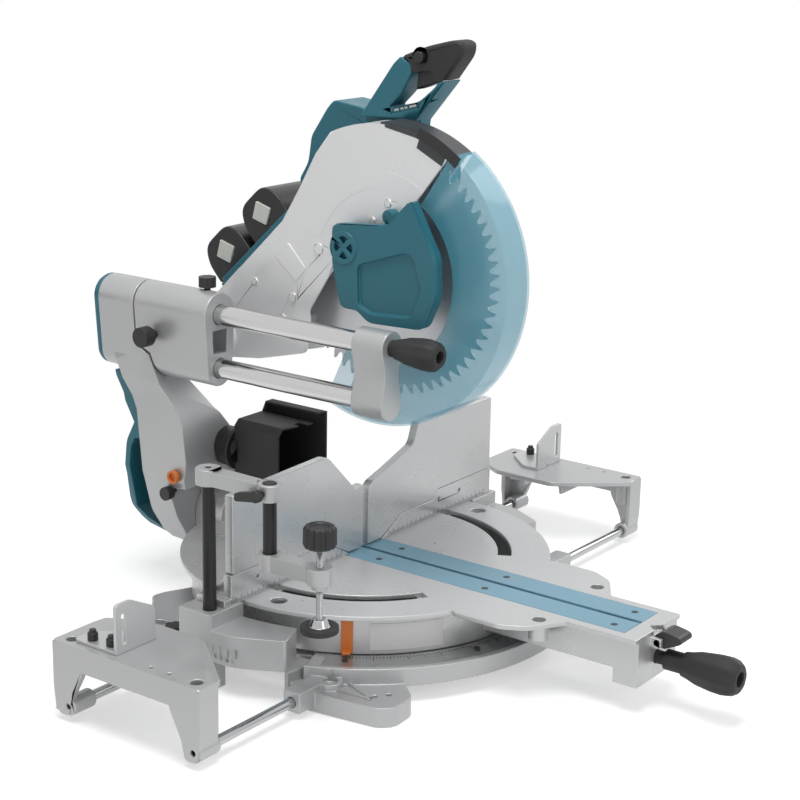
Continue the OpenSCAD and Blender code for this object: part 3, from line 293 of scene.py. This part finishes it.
def eased(name, node, body, finish, slot, radius, largest=None):
    """The node's own shape with its edges rounded, as a casting or moulding leaves them."""
    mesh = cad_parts[node].data.copy()
    rounded(mesh, radius, largest)
    obj = piece(name, mesh, body, finish, slot, node)
    edge = obj.modifiers.new("edges", "BEVEL")
    edge.limit_method = "WEIGHT"
    edge.width = radius
    edge.segments = 2
    edge.use_clamp_overlap = False
    settle(obj, radius)
    return shaded(obj)


cast_silver = surface("cast_silver", (0.52, 0.525, 0.53), 0.40, 0.36, grain=0.35, grain_size=0.0011)
eased("base_body", "base_casting", "base", cast_silver, "cast_silver", 0.0014)


def prism(work, outline, low, high, axis="z"):
    """A flat outline pushed through from low to high along one axis, as a closed solid."""
    place = {"x": lambda a, b, h: (h, a, b),
             "y": lambda a, b, h: (a, h, b),
             "z": lambda a, b, h: (a, b, h)}[axis]
    near, far = [[work.verts.new(place(a, b, h)) for a, b in outline] for h in (low, high)]
    work.faces.new(near[::-1])
    work.faces.new(far)
    for i in range(len(outline)):
        j = (i + 1) % len(outline)
        work.faces.new((near[i], near[j], far[j], far[i]))


def solid(work, name):
    """Turns the work in hand into a mesh whose faces all look outwards."""
    bmesh.ops.recalc_face_normals(work, faces=work.faces)
    mesh = bpy.data.meshes.new(name)
    work.to_mesh(mesh)
    work.free()
    return mesh


# raised three-cornered ribs on the front feet, and the row of short ribs low on each side wall
ribs = bmesh.new()
foot_corners = [Vector(corner) for corner in ((0.214, -0.128), (0.246, -0.112), (0.240, -0.196))]
foot_rib_low, foot_rib_high, foot_rib_half = 0.0235, 0.0262, 0.0022
wall_ribs, wall_rib_start, wall_rib_gap, wall_rib_wide = 7, -0.040, 0.0115, 0.004
wall_rib_low, wall_rib_high, wall_rib_inner, wall_rib_outer = 0.050, 0.060, 0.2965, 0.2985
for side in (-1, 1):
    for start, end in zip(foot_corners, foot_corners[1:] + foot_corners[:1]):
        run = (end - start).normalized()
        off = Vector((-run.y, run.x)) * foot_rib_half
        corners = [start + off, end + off, end - off, start - off]
        prism(ribs, [(side * c.x, c.y) for c in corners], foot_rib_low, foot_rib_high)
    for step in range(wall_ribs):
        y = wall_rib_start + step * wall_rib_gap
        face = [(y, wall_rib_low), (y + wall_rib_wide, wall_rib_low),
                (y + wall_rib_wide, wall_rib_high), (y, wall_rib_high)]
        prism(ribs, face, *sorted((side * wall_rib_inner, side * wall_rib_outer)), axis="x")
base_ribs = piece("base_ribs", solid(ribs, "base_ribs"), "base", cast_silver, "cast_silver")
rib_edges = base_ribs.modifiers.new("edges", "BEVEL")
rib_edges.limit_method = "ANGLE"
rib_edges.angle_limit = math.radians(30)
rib_edges.width = 0.0005
rib_edges.segments = 2


# The mitre scale: a bright steel strip screwed to the ring, with a line pressed in at every degree.
# Longer lines stand at each fifth and tenth degree, and dark paint fills them.
plate_silver = surface("plate_silver", (0.42, 0.425, 0.43), 0.75, 0.28,
                       cloud=0.03, grain=0.08, grain_size=0.0006)
scale_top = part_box("mitre_scale")[1].z
scale_inner, line_half, line_height = 0.2275, 0.00035, 0.0002
eased("scale_strip", "mitre_scale", "base", plate_silver, "table_silver", 0.0003)
line_paint = surface("line_paint", (0.03, 0.03, 0.03), 0.0, 0.55, cloud=0.1, grain=0.1)
lines = bmesh.new()
for degree in range(-58, 59):
    length = 0.011 if degree % 10 == 0 else 0.008 if degree % 5 == 0 else 0.005
    angle = math.radians(degree)
    out, across = Vector((math.sin(angle), -math.cos(angle))), Vector((math.cos(angle), math.sin(angle)))
    inner, outer, half = out * scale_inner, out * (scale_inner + length), across * line_half
    corners = [inner - half, inner + half, outer + half, outer - half]
    prism(lines, [tuple(c) for c in corners], scale_top, scale_top + line_height)
piece("scale_lines", solid(lines, "scale_lines"), "base", line_paint, "dark_steel")


# Screws and bolts of the base: black oxide steel, round heads with a cross or a six-sided socket.
# The centre bolt holds the table down on the base from below.
dark_steel = surface("dark_steel", (0.055, 0.056, 0.06), 0.8, 0.38,
                     cloud=0.12, grain=0.15, grain_size=0.0006)
eased("base_screw_heads", "base_screws", "base", dark_steel, "dark_steel", 0.0006)
eased("centre_bolt", "pivot_bolt", "base", dark_steel, "dark_steel", 0.0008)


# The fence: two fixed lower halves bolted to the side blocks, and two taller ones that slide on pins.
# All are cast and then milled on the face, which leaves fine upright tool lines and a soft shine.
def milled(name, colour, metal, rough, direction, pitch=0.0007, depth=0.16):
    """Machined metal: close parallel tool lines along one direction, over a faint cloud of tone."""
    finish = surface(name, colour, metal, rough, cloud=0.035, cloud_size=0.08, grain=depth, grain_size=pitch)
    nodes, links = finish.node_tree.nodes, finish.node_tree.links
    stretch = nodes.new("ShaderNodeMapping")
    stretch.inputs["Scale"].default_value = direction
    place = next(n for n in nodes if n.type == "TEX_COORD")
    fine = [n for n in nodes if n.type == "TEX_NOISE"][1]
    links.new(place.outputs["Object"], stretch.inputs["Vector"])
    links.new(stretch.outputs["Vector"], fine.inputs["Vector"])
    return finish


fence_silver = milled("fence_silver", (0.58, 0.585, 0.59), 0.48, 0.28, (1.0, 1.0, 0.03))
for word in ("left", "right"):
    eased(f"fixed_fence_{word}", f"lower_fence_{word}", "base", fence_silver, "table_silver", 0.0010)
    eased(f"tall_fence_{word}", f"upper_fence_{word}", f"{word}_sliding_fence",
          fence_silver, "table_silver", 0.0012)
# the rule along the foot of the fence, with a longer mark at every fourth step
ruler = bmesh.new()
mark_start, mark_gap, mark_half, mark_foot = 0.050, 0.0025, 0.00022, 0.0015
for side, word in ((-1, "left"), (1, "right")):
    low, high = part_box(f"lower_fence_{word}")
    reach = max(abs(low.x), abs(high.x))
    for step in range(int((reach - 0.060) / mark_gap)):
        x = side * (mark_start + step * mark_gap)
        tall = 0.0085 if step % 4 == 0 else 0.0050
        mark = [(x - mark_half, low.z + mark_foot), (x + mark_half, low.z + mark_foot),
                (x + mark_half, low.z + tall), (x - mark_half, low.z + tall)]
        prism(ruler, mark, -0.0002, 0.0003, axis="y")
piece("fence_ruler", solid(ruler, "fence_ruler"), "base", line_paint, "dark_steel")


# The work supports: a cast shelf on two legs at each side, riding on two ground steel rods.
# Each carries a folding stop with its two thumb bolts, and a knob under the base locks the rods.
bright_steel = milled("bright_steel", (0.45, 0.455, 0.46), 0.95, 0.16, (0.02, 1.0, 1.0),
                      pitch=0.0006, depth=0.05)
black_plastic = surface("black_plastic", (0.018, 0.018, 0.019), 0.0, 0.42,
                        cloud=0.15, grain=0.25, grain_size=0.0008)
stop_silver = milled("stop_silver", (0.62, 0.625, 0.63), 0.42, 0.32, (1.0, 0.04, 1.0))
for word in ("left", "right"):
    wing = f"{word}_wing"
    eased(f"{word}_shelf", f"{word}_support", wing, cast_silver, "cast_silver", 0.0016)
    eased(f"{word}_slide_rods", f"{word}_rods", wing, bright_steel, "bright_steel", 0.0005)
    eased(f"{word}_stop_plate", f"{word}_stop", wing, stop_silver, "table_silver", 0.0008)
    eased(f"{word}_thumb_bolts", f"{word}_stop_bolts", wing, black_plastic, "black_plastic", 0.0009)
    eased(f"{word}_rod_knob", f"{word}_clamp_knob", f"{wing}_knob", black_plastic, "black_plastic", 0.0008)


# The upright clamp: a blackened post in the side block, a cast arm that swings on it, a second post
# that drops through the arm, and a threaded spindle with a fluted knob and a swivelling foot.
def turned(work, stations, centre, axis, around_count, lobes=0):
    """A closed lathe-turned shape: stations are (place, radius, depth of the flats), end to end."""
    frames = {"x": lambda h, a, b: (h, centre[1] + a, centre[2] + b),
              "y": lambda h, a, b: (centre[0] + a, h, centre[2] + b),
              "z": lambda h, a, b: (centre[0] + a, centre[1] + b, h)}
    rings = []
    for place, radius, depth in stations:
        ring = []
        for i in range(around_count):
            angle = 2 * math.pi * i / around_count
            reach = radius - depth * (0.5 - 0.5 * math.cos(lobes * angle))
            point = frames[axis](place, reach * math.cos(angle), reach * math.sin(angle))
            ring.append(work.verts.new(point))
        rings.append(ring)
    for one, two in zip(rings, rings[1:]):
        for i in range(around_count):
            j = (i + 1) % around_count
            work.faces.new((one[i], one[j], two[j], two[i]))
    work.faces.new(rings[0][::-1])
    work.faces.new(rings[-1])


black_steel = surface("black_steel", (0.025, 0.025, 0.027), 0.5, 0.34,
                      cloud=0.1, grain=0.1, grain_size=0.0008)
black_rubber = surface("black_rubber", (0.022, 0.022, 0.023), 0.0, 0.62,
                       cloud=0.18, grain=0.45, grain_size=0.0007)
eased("clamp_pillar", "clamp_post", "clamp_swing", black_steel, "dark_steel", 0.0008)
eased("clamp_top_arm", "clamp_arm", "clamp_swing", cast_silver, "cast_silver", 0.0014)
eased("clamp_catch_lever", "clamp_lever", "clamp_catch", black_plastic, "black_plastic", 0.0010)
lower_arm = eased("clamp_drop_arm", "clamp_lower_arm", "clamp_drop", cast_silver, "cast_silver", 0.0012)
lower_arm.data.materials.append(black_steel)
drop_post_x, drop_post_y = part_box("clamp_post")[0].x + 0.008, -0.078
drop_post_r, drop_arm_top = 0.0083, 0.168
for face in lower_arm.data.polygons:
    centre = face.center
    beside = Vector((centre.x - drop_post_x, centre.y - drop_post_y)).length
    if beside < drop_post_r and centre.z > drop_arm_top:
        face.material_index = 1
screw_low, screw_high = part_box("clamp_screw")
screw_centre = (screw_low + screw_high) / 2
thread = bmesh.new()
pitch, root_r, crest_r = 0.0015, 0.0035, 0.0040
knob_foot = 0.2085
stations = []
for number in range(int((knob_foot - screw_low.z) / pitch)):
    stations += [(screw_low.z + number * pitch, root_r, 0),
                 (screw_low.z + (number + 0.5) * pitch, crest_r, 0)]
turned(thread, stations, screw_centre, "z", around_count=24)
rod = solid(thread, "clamp_spindle_rod")
shaded(piece("clamp_spindle_rod", rod, "clamp_spindle", bright_steel, "dark_steel"))
fluted = bmesh.new()
top = screw_high.z
knob_profile = [(knob_foot, 0.0150, 0), (0.2100, 0.0180, 0.0010), (0.2125, 0.0190, 0.0026),
                (top - 0.0040, 0.0188, 0.0026), (top - 0.0015, 0.0178, 0.0016),
                (top - 0.0002, 0.0158, 0.0004), (top, 0.0146, 0), (top - 0.0008, 0.0122, 0),
                (top - 0.0022, 0.0112, 0), (top - 0.0022, 0.0040, 0)]
turned(fluted, knob_profile, screw_centre, "z", lobes=14, around_count=112)
hand_knob = solid(fluted, "clamp_hand_knob")
shaded(piece("clamp_hand_knob", hand_knob, "clamp_spindle", black_plastic, "black_plastic", "clamp_screw"))
foot_pad = eased("clamp_foot_pad", "clamp_pad", "clamp_foot", black_rubber, "black_rubber", 0.0010)
foot_pad.data.materials.append(bright_steel)
cone_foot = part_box("clamp_pad")[0].z + 0.0072
for face in foot_pad.data.polygons:
    face.material_index = 1 if face.center.z > cone_foot else 0


# The turntable: a thick aluminium disc with a long arm forward, turned on its face in fine rings.
# Blue plastic boards line the blade's slot, and small dark screws hold them down.
table_silver = surface("table_silver", (0.60, 0.605, 0.61), 0.42, 0.32,
                       cloud=0.03, grain=0.10, grain_size=0.0009)
table_nodes, table_links = table_silver.node_tree.nodes, table_silver.node_tree.links
spot = table_nodes.new("ShaderNodeTexCoord")
rings = table_nodes.new("ShaderNodeTexWave")
rings.wave_type = "RINGS"
rings.rings_direction = "Z"
rings.inputs["Scale"].default_value = 160
rings.inputs["Distortion"].default_value = 0.6
rings.inputs["Detail"].default_value = 1
table_links.new(spot.outputs["Object"], rings.inputs["Vector"])
turned_bump = table_nodes.new("ShaderNodeBump")
turned_bump.inputs["Strength"].default_value = 0.10
turned_bump.inputs["Distance"].default_value = 0.0002
table_links.new(rings.outputs["Fac"], turned_bump.inputs["Height"])
grain_bump = next(n for n in table_nodes if n.type == "BUMP")
table_links.new(grain_bump.outputs["Normal"], turned_bump.inputs["Normal"])
table_links.new(turned_bump.outputs["Normal"], table_nodes["Principled BSDF"].inputs["Normal"])
eased("table_disc", "turntable", "table", table_silver, "table_silver", 0.0012)
# a blank plate riveted to the turntable's wall
wall_plate = bmesh.new()
plate_in, plate_out, plate_low, plate_high = 0.2212, 0.2212 + 0.0004, 0.0475, 0.0805
for degree in range(-51, -28):
    one, two = math.radians(degree), math.radians(degree + 1)
    bend = ((plate_in, one), (plate_in, two), (plate_out, two), (plate_out, one))
    prism(wall_plate, [(r * math.sin(a), -r * math.cos(a)) for r, a in bend], plate_low, plate_high)
blank_plate = surface("blank_plate", (0.80, 0.80, 0.80), 0.0, 0.45, cloud=0.03, grain=0.08)
piece("wall_plate", solid(wall_plate, "wall_plate"), "table", blank_plate, "table_silver")
board_blue = surface("board_blue", (0.20, 0.40, 0.52), 0.0, 0.38, cloud=0.06, grain=0.15, grain_size=0.0008)
eased("slot_boards", "kerf_boards", "table", board_blue, "kerf_blue", 0.0006)
eased("board_screws", "kerf_screws", "table", dark_steel, "dark_steel", 0.0003)
orange = surface("orange_plastic", (0.75, 0.20, 0.03), 0.0, 0.40, cloud=0.05, grain=0.1)
eased("angle_pointer", "mitre_pointer", "table", orange, "orange_plastic", 0.0008)
eased("tilt_pin", "bevel_pin", "table", dark_steel, "dark_steel", 0.0008)


# The mitre handle: a hard rubber grip with eight soft flats, on a screw that locks the table.
# A thumb lever above it lets the table out of its click stops.
def grip(name, node, body, radius, shrink=1.0):
    """An eight-sided grip that swells towards its free end, with a deep hole in the end face."""
    low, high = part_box(node)
    tip = low.y
    reach = high.y - tip
    # distance from the tip in metres, then radius and depth of the flats as parts of the radius
    profile = ((reach, 0.34, 0), (0.094, 0.34, 0), (0.093, 0.52, 0), (0.071, 0.52, 0), (0.070, 0.62, 0),
               (0.062, 0.70, 0.02), (0.050, 0.86, 0.05), (0.030, 0.98, 0.07), (0.016, 1.0, 0.07),
               (0.008, 0.93, 0.06), (0.002, 0.76, 0.04), (0.0, 0.66, 0.02), (0.0, 0.40, 0),
               (0.0015, 0.36, 0), (0.012, 0.36, 0))
    stations = [(tip + min(place, reach) * shrink, radius * wide, radius * flat)
                for place, wide, flat in profile]
    shape = bmesh.new()
    turned(shape, stations, (low + high) / 2, "y", lobes=8, around_count=64)
    return shaded(piece(name, solid(shape, name), body, black_rubber, "black_rubber", node))


grip("mitre_handle_grip", "mitre_grip", "mitre_handle", 0.0236)
eased("mitre_thumb_lever", "lock_lever", "mitre_lever", black_plastic, "black_plastic", 0.0010)


# The arm: a tall aluminium casting that tilts behind the table and holds both slide poles.
# Its back is closed by a moulded cover and cap in sea-green plastic.
sea_green = surface("sea_green", (0.020, 0.160, 0.215), 0.0, 0.40, cloud=0.05, grain=0.22, grain_size=0.0010)
eased("arm_casting", "bevel_arm", "arm", cast_silver, "cast_silver", 0.0016)
eased("arm_back_cover", "rear_cover", "arm", sea_green, "teal_plastic", 0.0016)
eased("arm_back_cap", "rear_cap", "arm", sea_green, "teal_plastic", 0.0012)
pole_steel = milled("pole_steel", (0.56, 0.56, 0.56), 1.0, 0.13, (1.0, 0.02, 1.0), pitch=0.0008, depth=0.03)
eased("slide_poles_pair", "slide_poles", "arm", pole_steel, "bright_steel", 0.0006)
eased("pole_end_bracket", "pole_bracket", "arm", cast_silver, "cast_silver", 0.0014)
grip("tilt_knob", "bevel_knob", "bevel_handle", 0.0195, shrink=0.86)
eased("stop_latch_knob", "latch_knob", "latch", black_plastic, "black_plastic", 0.0010)
eased("stop_release_ring", "release_ring", "release", orange, "orange_plastic", 0.0008)


# The dust mouth: soft black rubber behind the blade, on a stiff elbow that leads into the arm.
# The real rubber bends aside when long work touches it, but here it is built as a fixed part of the arm; its
# skin is dull and finely grained.
eased("dust_mouth", "dust_chute", "arm", black_rubber, "black_rubber", 0.0006)
eased("dust_bend", "dust_elbow", "arm", black_plastic, "black_plastic", 0.0012)


# The slider: a cast shell that runs along the poles on linear bearings and carries the head's hinge.
# A side knob sets the trenching depth, and a top one locks the slide.
eased("slide_casting", "carriage", "slider", cast_silver, "cast_silver", 0.0016)
eased("head_hinge_pin", "hinge_pin", "slider", dark_steel, "dark_steel", 0.0008)
eased("depth_stop_knob", "stop_knob", "stop_screw", black_plastic, "black_plastic", 0.0010)
eased("slide_lock_thumbwheel", "slide_lock_knob", "slide_lock", black_plastic, "black_plastic", 0.0008)


# The blade case: two thin cast plates joined at the rim, painted a pale silver, with the gear case
# and motor on the right and a moulded cover over the blade bolt on the left.
case_silver = surface("case_silver", (0.86, 0.865, 0.87), 0.25, 0.33, cloud=0.03, grain=0.10)
grey_plastic = surface("grey_plastic", (0.045, 0.05, 0.055), 0.0, 0.40, cloud=0.1, grain=0.2)
eased("blade_housing", "blade_case", "head", case_silver, "case_silver", 0.0012, largest=12)
blade_low, blade_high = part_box("blade")
blade_y, blade_z = (blade_low.y + blade_high.y) / 2, (blade_low.z + blade_high.z) / 2
case_left, case_right = -0.032, 0.011


def around(angle, radius):
    """A point beside the blade, by its angle from straight back and its distance from the axis."""
    turn = math.radians(angle)
    return blade_y + radius * math.cos(turn), blade_z + radius * math.sin(turn)


# black cap over the front end of the case, with a thin strip that runs back along the rim
cap = bmesh.new()
strip = [around(a, 0.1834) for a in range(90, 125, 2)] + [around(a, 0.1811) for a in range(124, 89, -2)]
prism(cap, strip, case_left - 0.0002, case_right, axis="x")
cap_side = [around(a, 0.1809) for a in range(92, 123, 3)]
cap_side += [around(122.5, 0.1655), around(108.5, 0.1662), around(108.5, 0.1774), around(92, 0.1778)]
prism(cap, cap_side, case_left - 0.00032, case_left, axis="x")
prism(cap, cap_side, case_right, case_right + 0.0003, axis="x")
piece("housing_trim", solid(cap, "housing_trim"), "head", grey_plastic, "grey_plastic", "case_trim")

# a low step pressed into the case's left face, and the rim of the plate inside it
step = bmesh.new()
band_out = ((17, 0.117), (35, 0.1175), (53, 0.1186), (68, 0.1215), (84, 0.1246), (97, 0.1264),
            (109, 0.127), (121, 0.1253))
band_in = ((114.5, 0.0855), (106, 0.096), (99, 0.1036), (90, 0.1044), (81, 0.1046), (64, 0.1018),
           (48, 0.0989), (35, 0.097), (22.5, 0.0957))
band = [around(a, r) for a, r in band_out + band_in]
prism(step, band, case_left - 0.0003, case_left + 0.0001, axis="x")
piece("case_step", solid(step, "case_step"), "head", case_silver, "case_silver")
eased("motor_shell", "motor_housing", "head", sea_green, "teal_plastic", 0.0020)
eased("bolt_cover", "centre_cover", "head", sea_green, "teal_plastic", 0.0016)
# the slots in the motor's end, which fill a circle: flat black strips, painted shade that stands for the dark
# inside of each opening
motor_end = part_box("motor_housing")[1].x
vent_r, vent_half, vent_gap = 0.042, 0.0017, 0.008
vent_y, vent_z = blade_y + 0.060, blade_z + 0.100
vents = bmesh.new()
for index in range(9):
    height = -0.032 + index * vent_gap
    half = math.sqrt(vent_r ** 2 - height ** 2) - 0.002
    z = vent_z + height
    slot = [(vent_y - half, z - vent_half), (vent_y + half, z - vent_half),
            (vent_y + half, z + vent_half), (vent_y - half, z + vent_half)]
    prism(vents, slot, motor_end - 0.0004, motor_end - 0.00005, axis="x")
piece("motor_vents", solid(vents, "motor_vents"), "head", black_plastic, "black_plastic")


# The handle: a moulded D with a rubber grip, a trigger under it and a lock-off button at its side.
# The grip's rubber is moulded over the shell, and both halves meet in a fine parting line, which is not drawn
# here.
eased("handle_shell", "handle", "head", sea_green, "teal_plastic", 0.0025, largest=12)
eased("handle_rubber", "hand_grip", "head", black_rubber, "black_rubber", 0.0050)
# the small dark panel at the handle's foot, with a row of plain pale marks
panel = bmesh.new()
panel_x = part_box("handle")[0].x + 0.0010
panel_shape = ((0.020, 0.1865), (-0.0215, 0.1973), (-0.0187, 0.2035), (0.0136, 0.1955))
panel_low = [(blade_y + a, blade_z + b) for a, b in panel_shape]
prism(panel, panel_low, panel_x, panel_x + 0.0004, axis="x")
piece("lamp_panel", solid(panel, "lamp_panel"), "head", black_plastic, "black_plastic")
marks = bmesh.new()
panel_start, panel_end = Vector(panel_low[0]), Vector(panel_low[1])
run = (panel_end - panel_start).normalized()
rise = Vector((-run.y, run.x)) * -0.0013
for along, wide in ((0.22, 0.0035), (0.42, 0.0022), (0.56, 0.0022), (0.80, 0.0052)):
    middle = panel_start.lerp(panel_end, along) + Vector((0.0012, 0.0036))
    mark = [tuple(middle + run * wide * a + rise * b) for a, b in ((-1, -1), (1, -1), (1, 1), (-1, 1))]
    prism(marks, mark, panel_x - 0.0001, panel_x + 0.0001, axis="x")
piece("panel_marks", solid(marks, "panel_marks"), "head", plate_silver, "case_silver")
eased("switch_trigger", "trigger", "switch_trigger", black_plastic, "black_plastic", 0.0014)
eased("lock_off", "lock_off_button", "lock_button", black_plastic, "black_plastic", 0.0012)


# The blade: a thin steel disc with sixty carbide teeth, and the bolt and flanges that clamp it.
# Each tooth stands behind a round gullet, and its tip is a little wider than the plate.
blade_r = (blade_high.z - blade_low.z) / 2
blade_steel = surface("blade_steel", (0.66, 0.67, 0.68), 0.80, 0.34,
                      cloud=0.08, grain=0.12, grain_size=0.0007)
disc = bmesh.new()
outline = []
teeth = 60
tooth_turn = 2 * math.pi / teeth
# one tooth as parts of its pitch and depths below the tip: back of the tooth, gullet and steep face
tooth_shape = ((0.0, 0.0), (0.20, 0.0012), (0.36, 0.0042), (0.54, 0.0095), (0.68, 0.0122), (0.82, 0.0125),
               (0.93, 0.0105), (0.985, 0.0060))
for tooth in range(teeth):
    start = 2 * math.pi * tooth / teeth
    for turn_part, depth in tooth_shape:
        angle = start + tooth_turn * turn_part
        radius = blade_r - depth
        outline.append((blade_y + radius * math.cos(angle), blade_z + radius * math.sin(angle)))
bore_r, bore_count = 0.0127, 48
bore_turns = [2 * math.pi * i / bore_count for i in range(bore_count)]
hole = [(blade_y + bore_r * math.cos(t), blade_z + bore_r * math.sin(t)) for t in bore_turns]
sides = []
per_bore = len(outline) // len(hole)
for x in (blade_low.x + 0.0001, blade_high.x - 0.0001):
    rim = [disc.verts.new((x, a, b)) for a, b in outline]
    bore = [disc.verts.new((x, a, b)) for a, b in hole]
    for i in range(len(rim)):
        j = (i + 1) % len(rim)
        here, after = bore[i // per_bore], bore[j // per_bore]
        disc.faces.new((rim[i], rim[j], here) if here is after else (rim[i], rim[j], after, here))
    sides.append((rim, bore))
for near, far in zip(*sides):
    for i in range(len(near)):
        j = (i + 1) % len(near)
        disc.faces.new((near[i], near[j], far[j], far[i]))
piece("saw_disc", solid(disc, "saw_disc"), "saw_blade", blade_steel, "blade_steel", "blade")
tips = bmesh.new()
kerf = 0.0004
for tooth in range(teeth):
    angle = 2 * math.pi * tooth / teeth
    out, ahead = Vector((math.cos(angle), math.sin(angle))), Vector((-math.sin(angle), math.cos(angle)))
    point = Vector((blade_y, blade_z)) + out * (blade_r - 0.0001)
    corners = [point, point + ahead * 0.0028, point + ahead * 0.0022 - out * 0.0062, point - out * 0.0066]
    prism(tips, [tuple(c) for c in corners], blade_low.x - kerf, blade_high.x + kerf, axis="x")
carbide = surface("carbide", (0.50, 0.50, 0.50), 0.9, 0.22, cloud=0.05, grain=0.05)
piece("carbide_tips", solid(tips, "carbide_tips"), "saw_blade", carbide, "blade_steel")
eased("blade_bolt_flanges", "arbor", "saw_blade", dark_steel, "dark_steel", 0.0006)


# The lower guard: clear blue polycarbonate in two cheeks and a rim, moulded in one.
# It turns back on the blade's axis as the head comes down, drawn by the black link at its top.
guard_blue = surface("guard_blue", (0.13, 0.53, 0.68), 0.0, 0.06, cloud=0.02, grain=0.02)
guard_blue.node_tree.nodes["Principled BSDF"].inputs["Alpha"].default_value = 0.34
guard = eased("clear_guard", "lower_guard", "guard", guard_blue, "clear_blue", 0.0006)
guard.data.materials.append(black_plastic)
link_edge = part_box("lower_guard")[0].x + 0.0018
for face in guard.data.polygons:
    face.material_index = 1 if face.center.x < link_edge else 0


# The batteries: two packs side by side on the slope behind the motor, black with rounded shoulders.
# Each has a pale button at its left end that frees it to slide out.
pack_black = surface("pack_black", (0.016, 0.016, 0.017), 0.0, 0.30,
                     cloud=0.12, grain=0.2, grain_size=0.0008)
pale_plastic = surface("pale_plastic", (0.70, 0.71, 0.66), 0.0, 0.36, cloud=0.04, grain=0.1)
for word in ("upper", "lower"):
    eased(f"{word}_pack", f"battery_{word}", f"{word}_battery", pack_black, "black_plastic", 0.0024)
    eased(f"{word}_pack_button", f"{word}_release", f"{word}_button", pale_plastic, "pale_plastic", 0.0012)
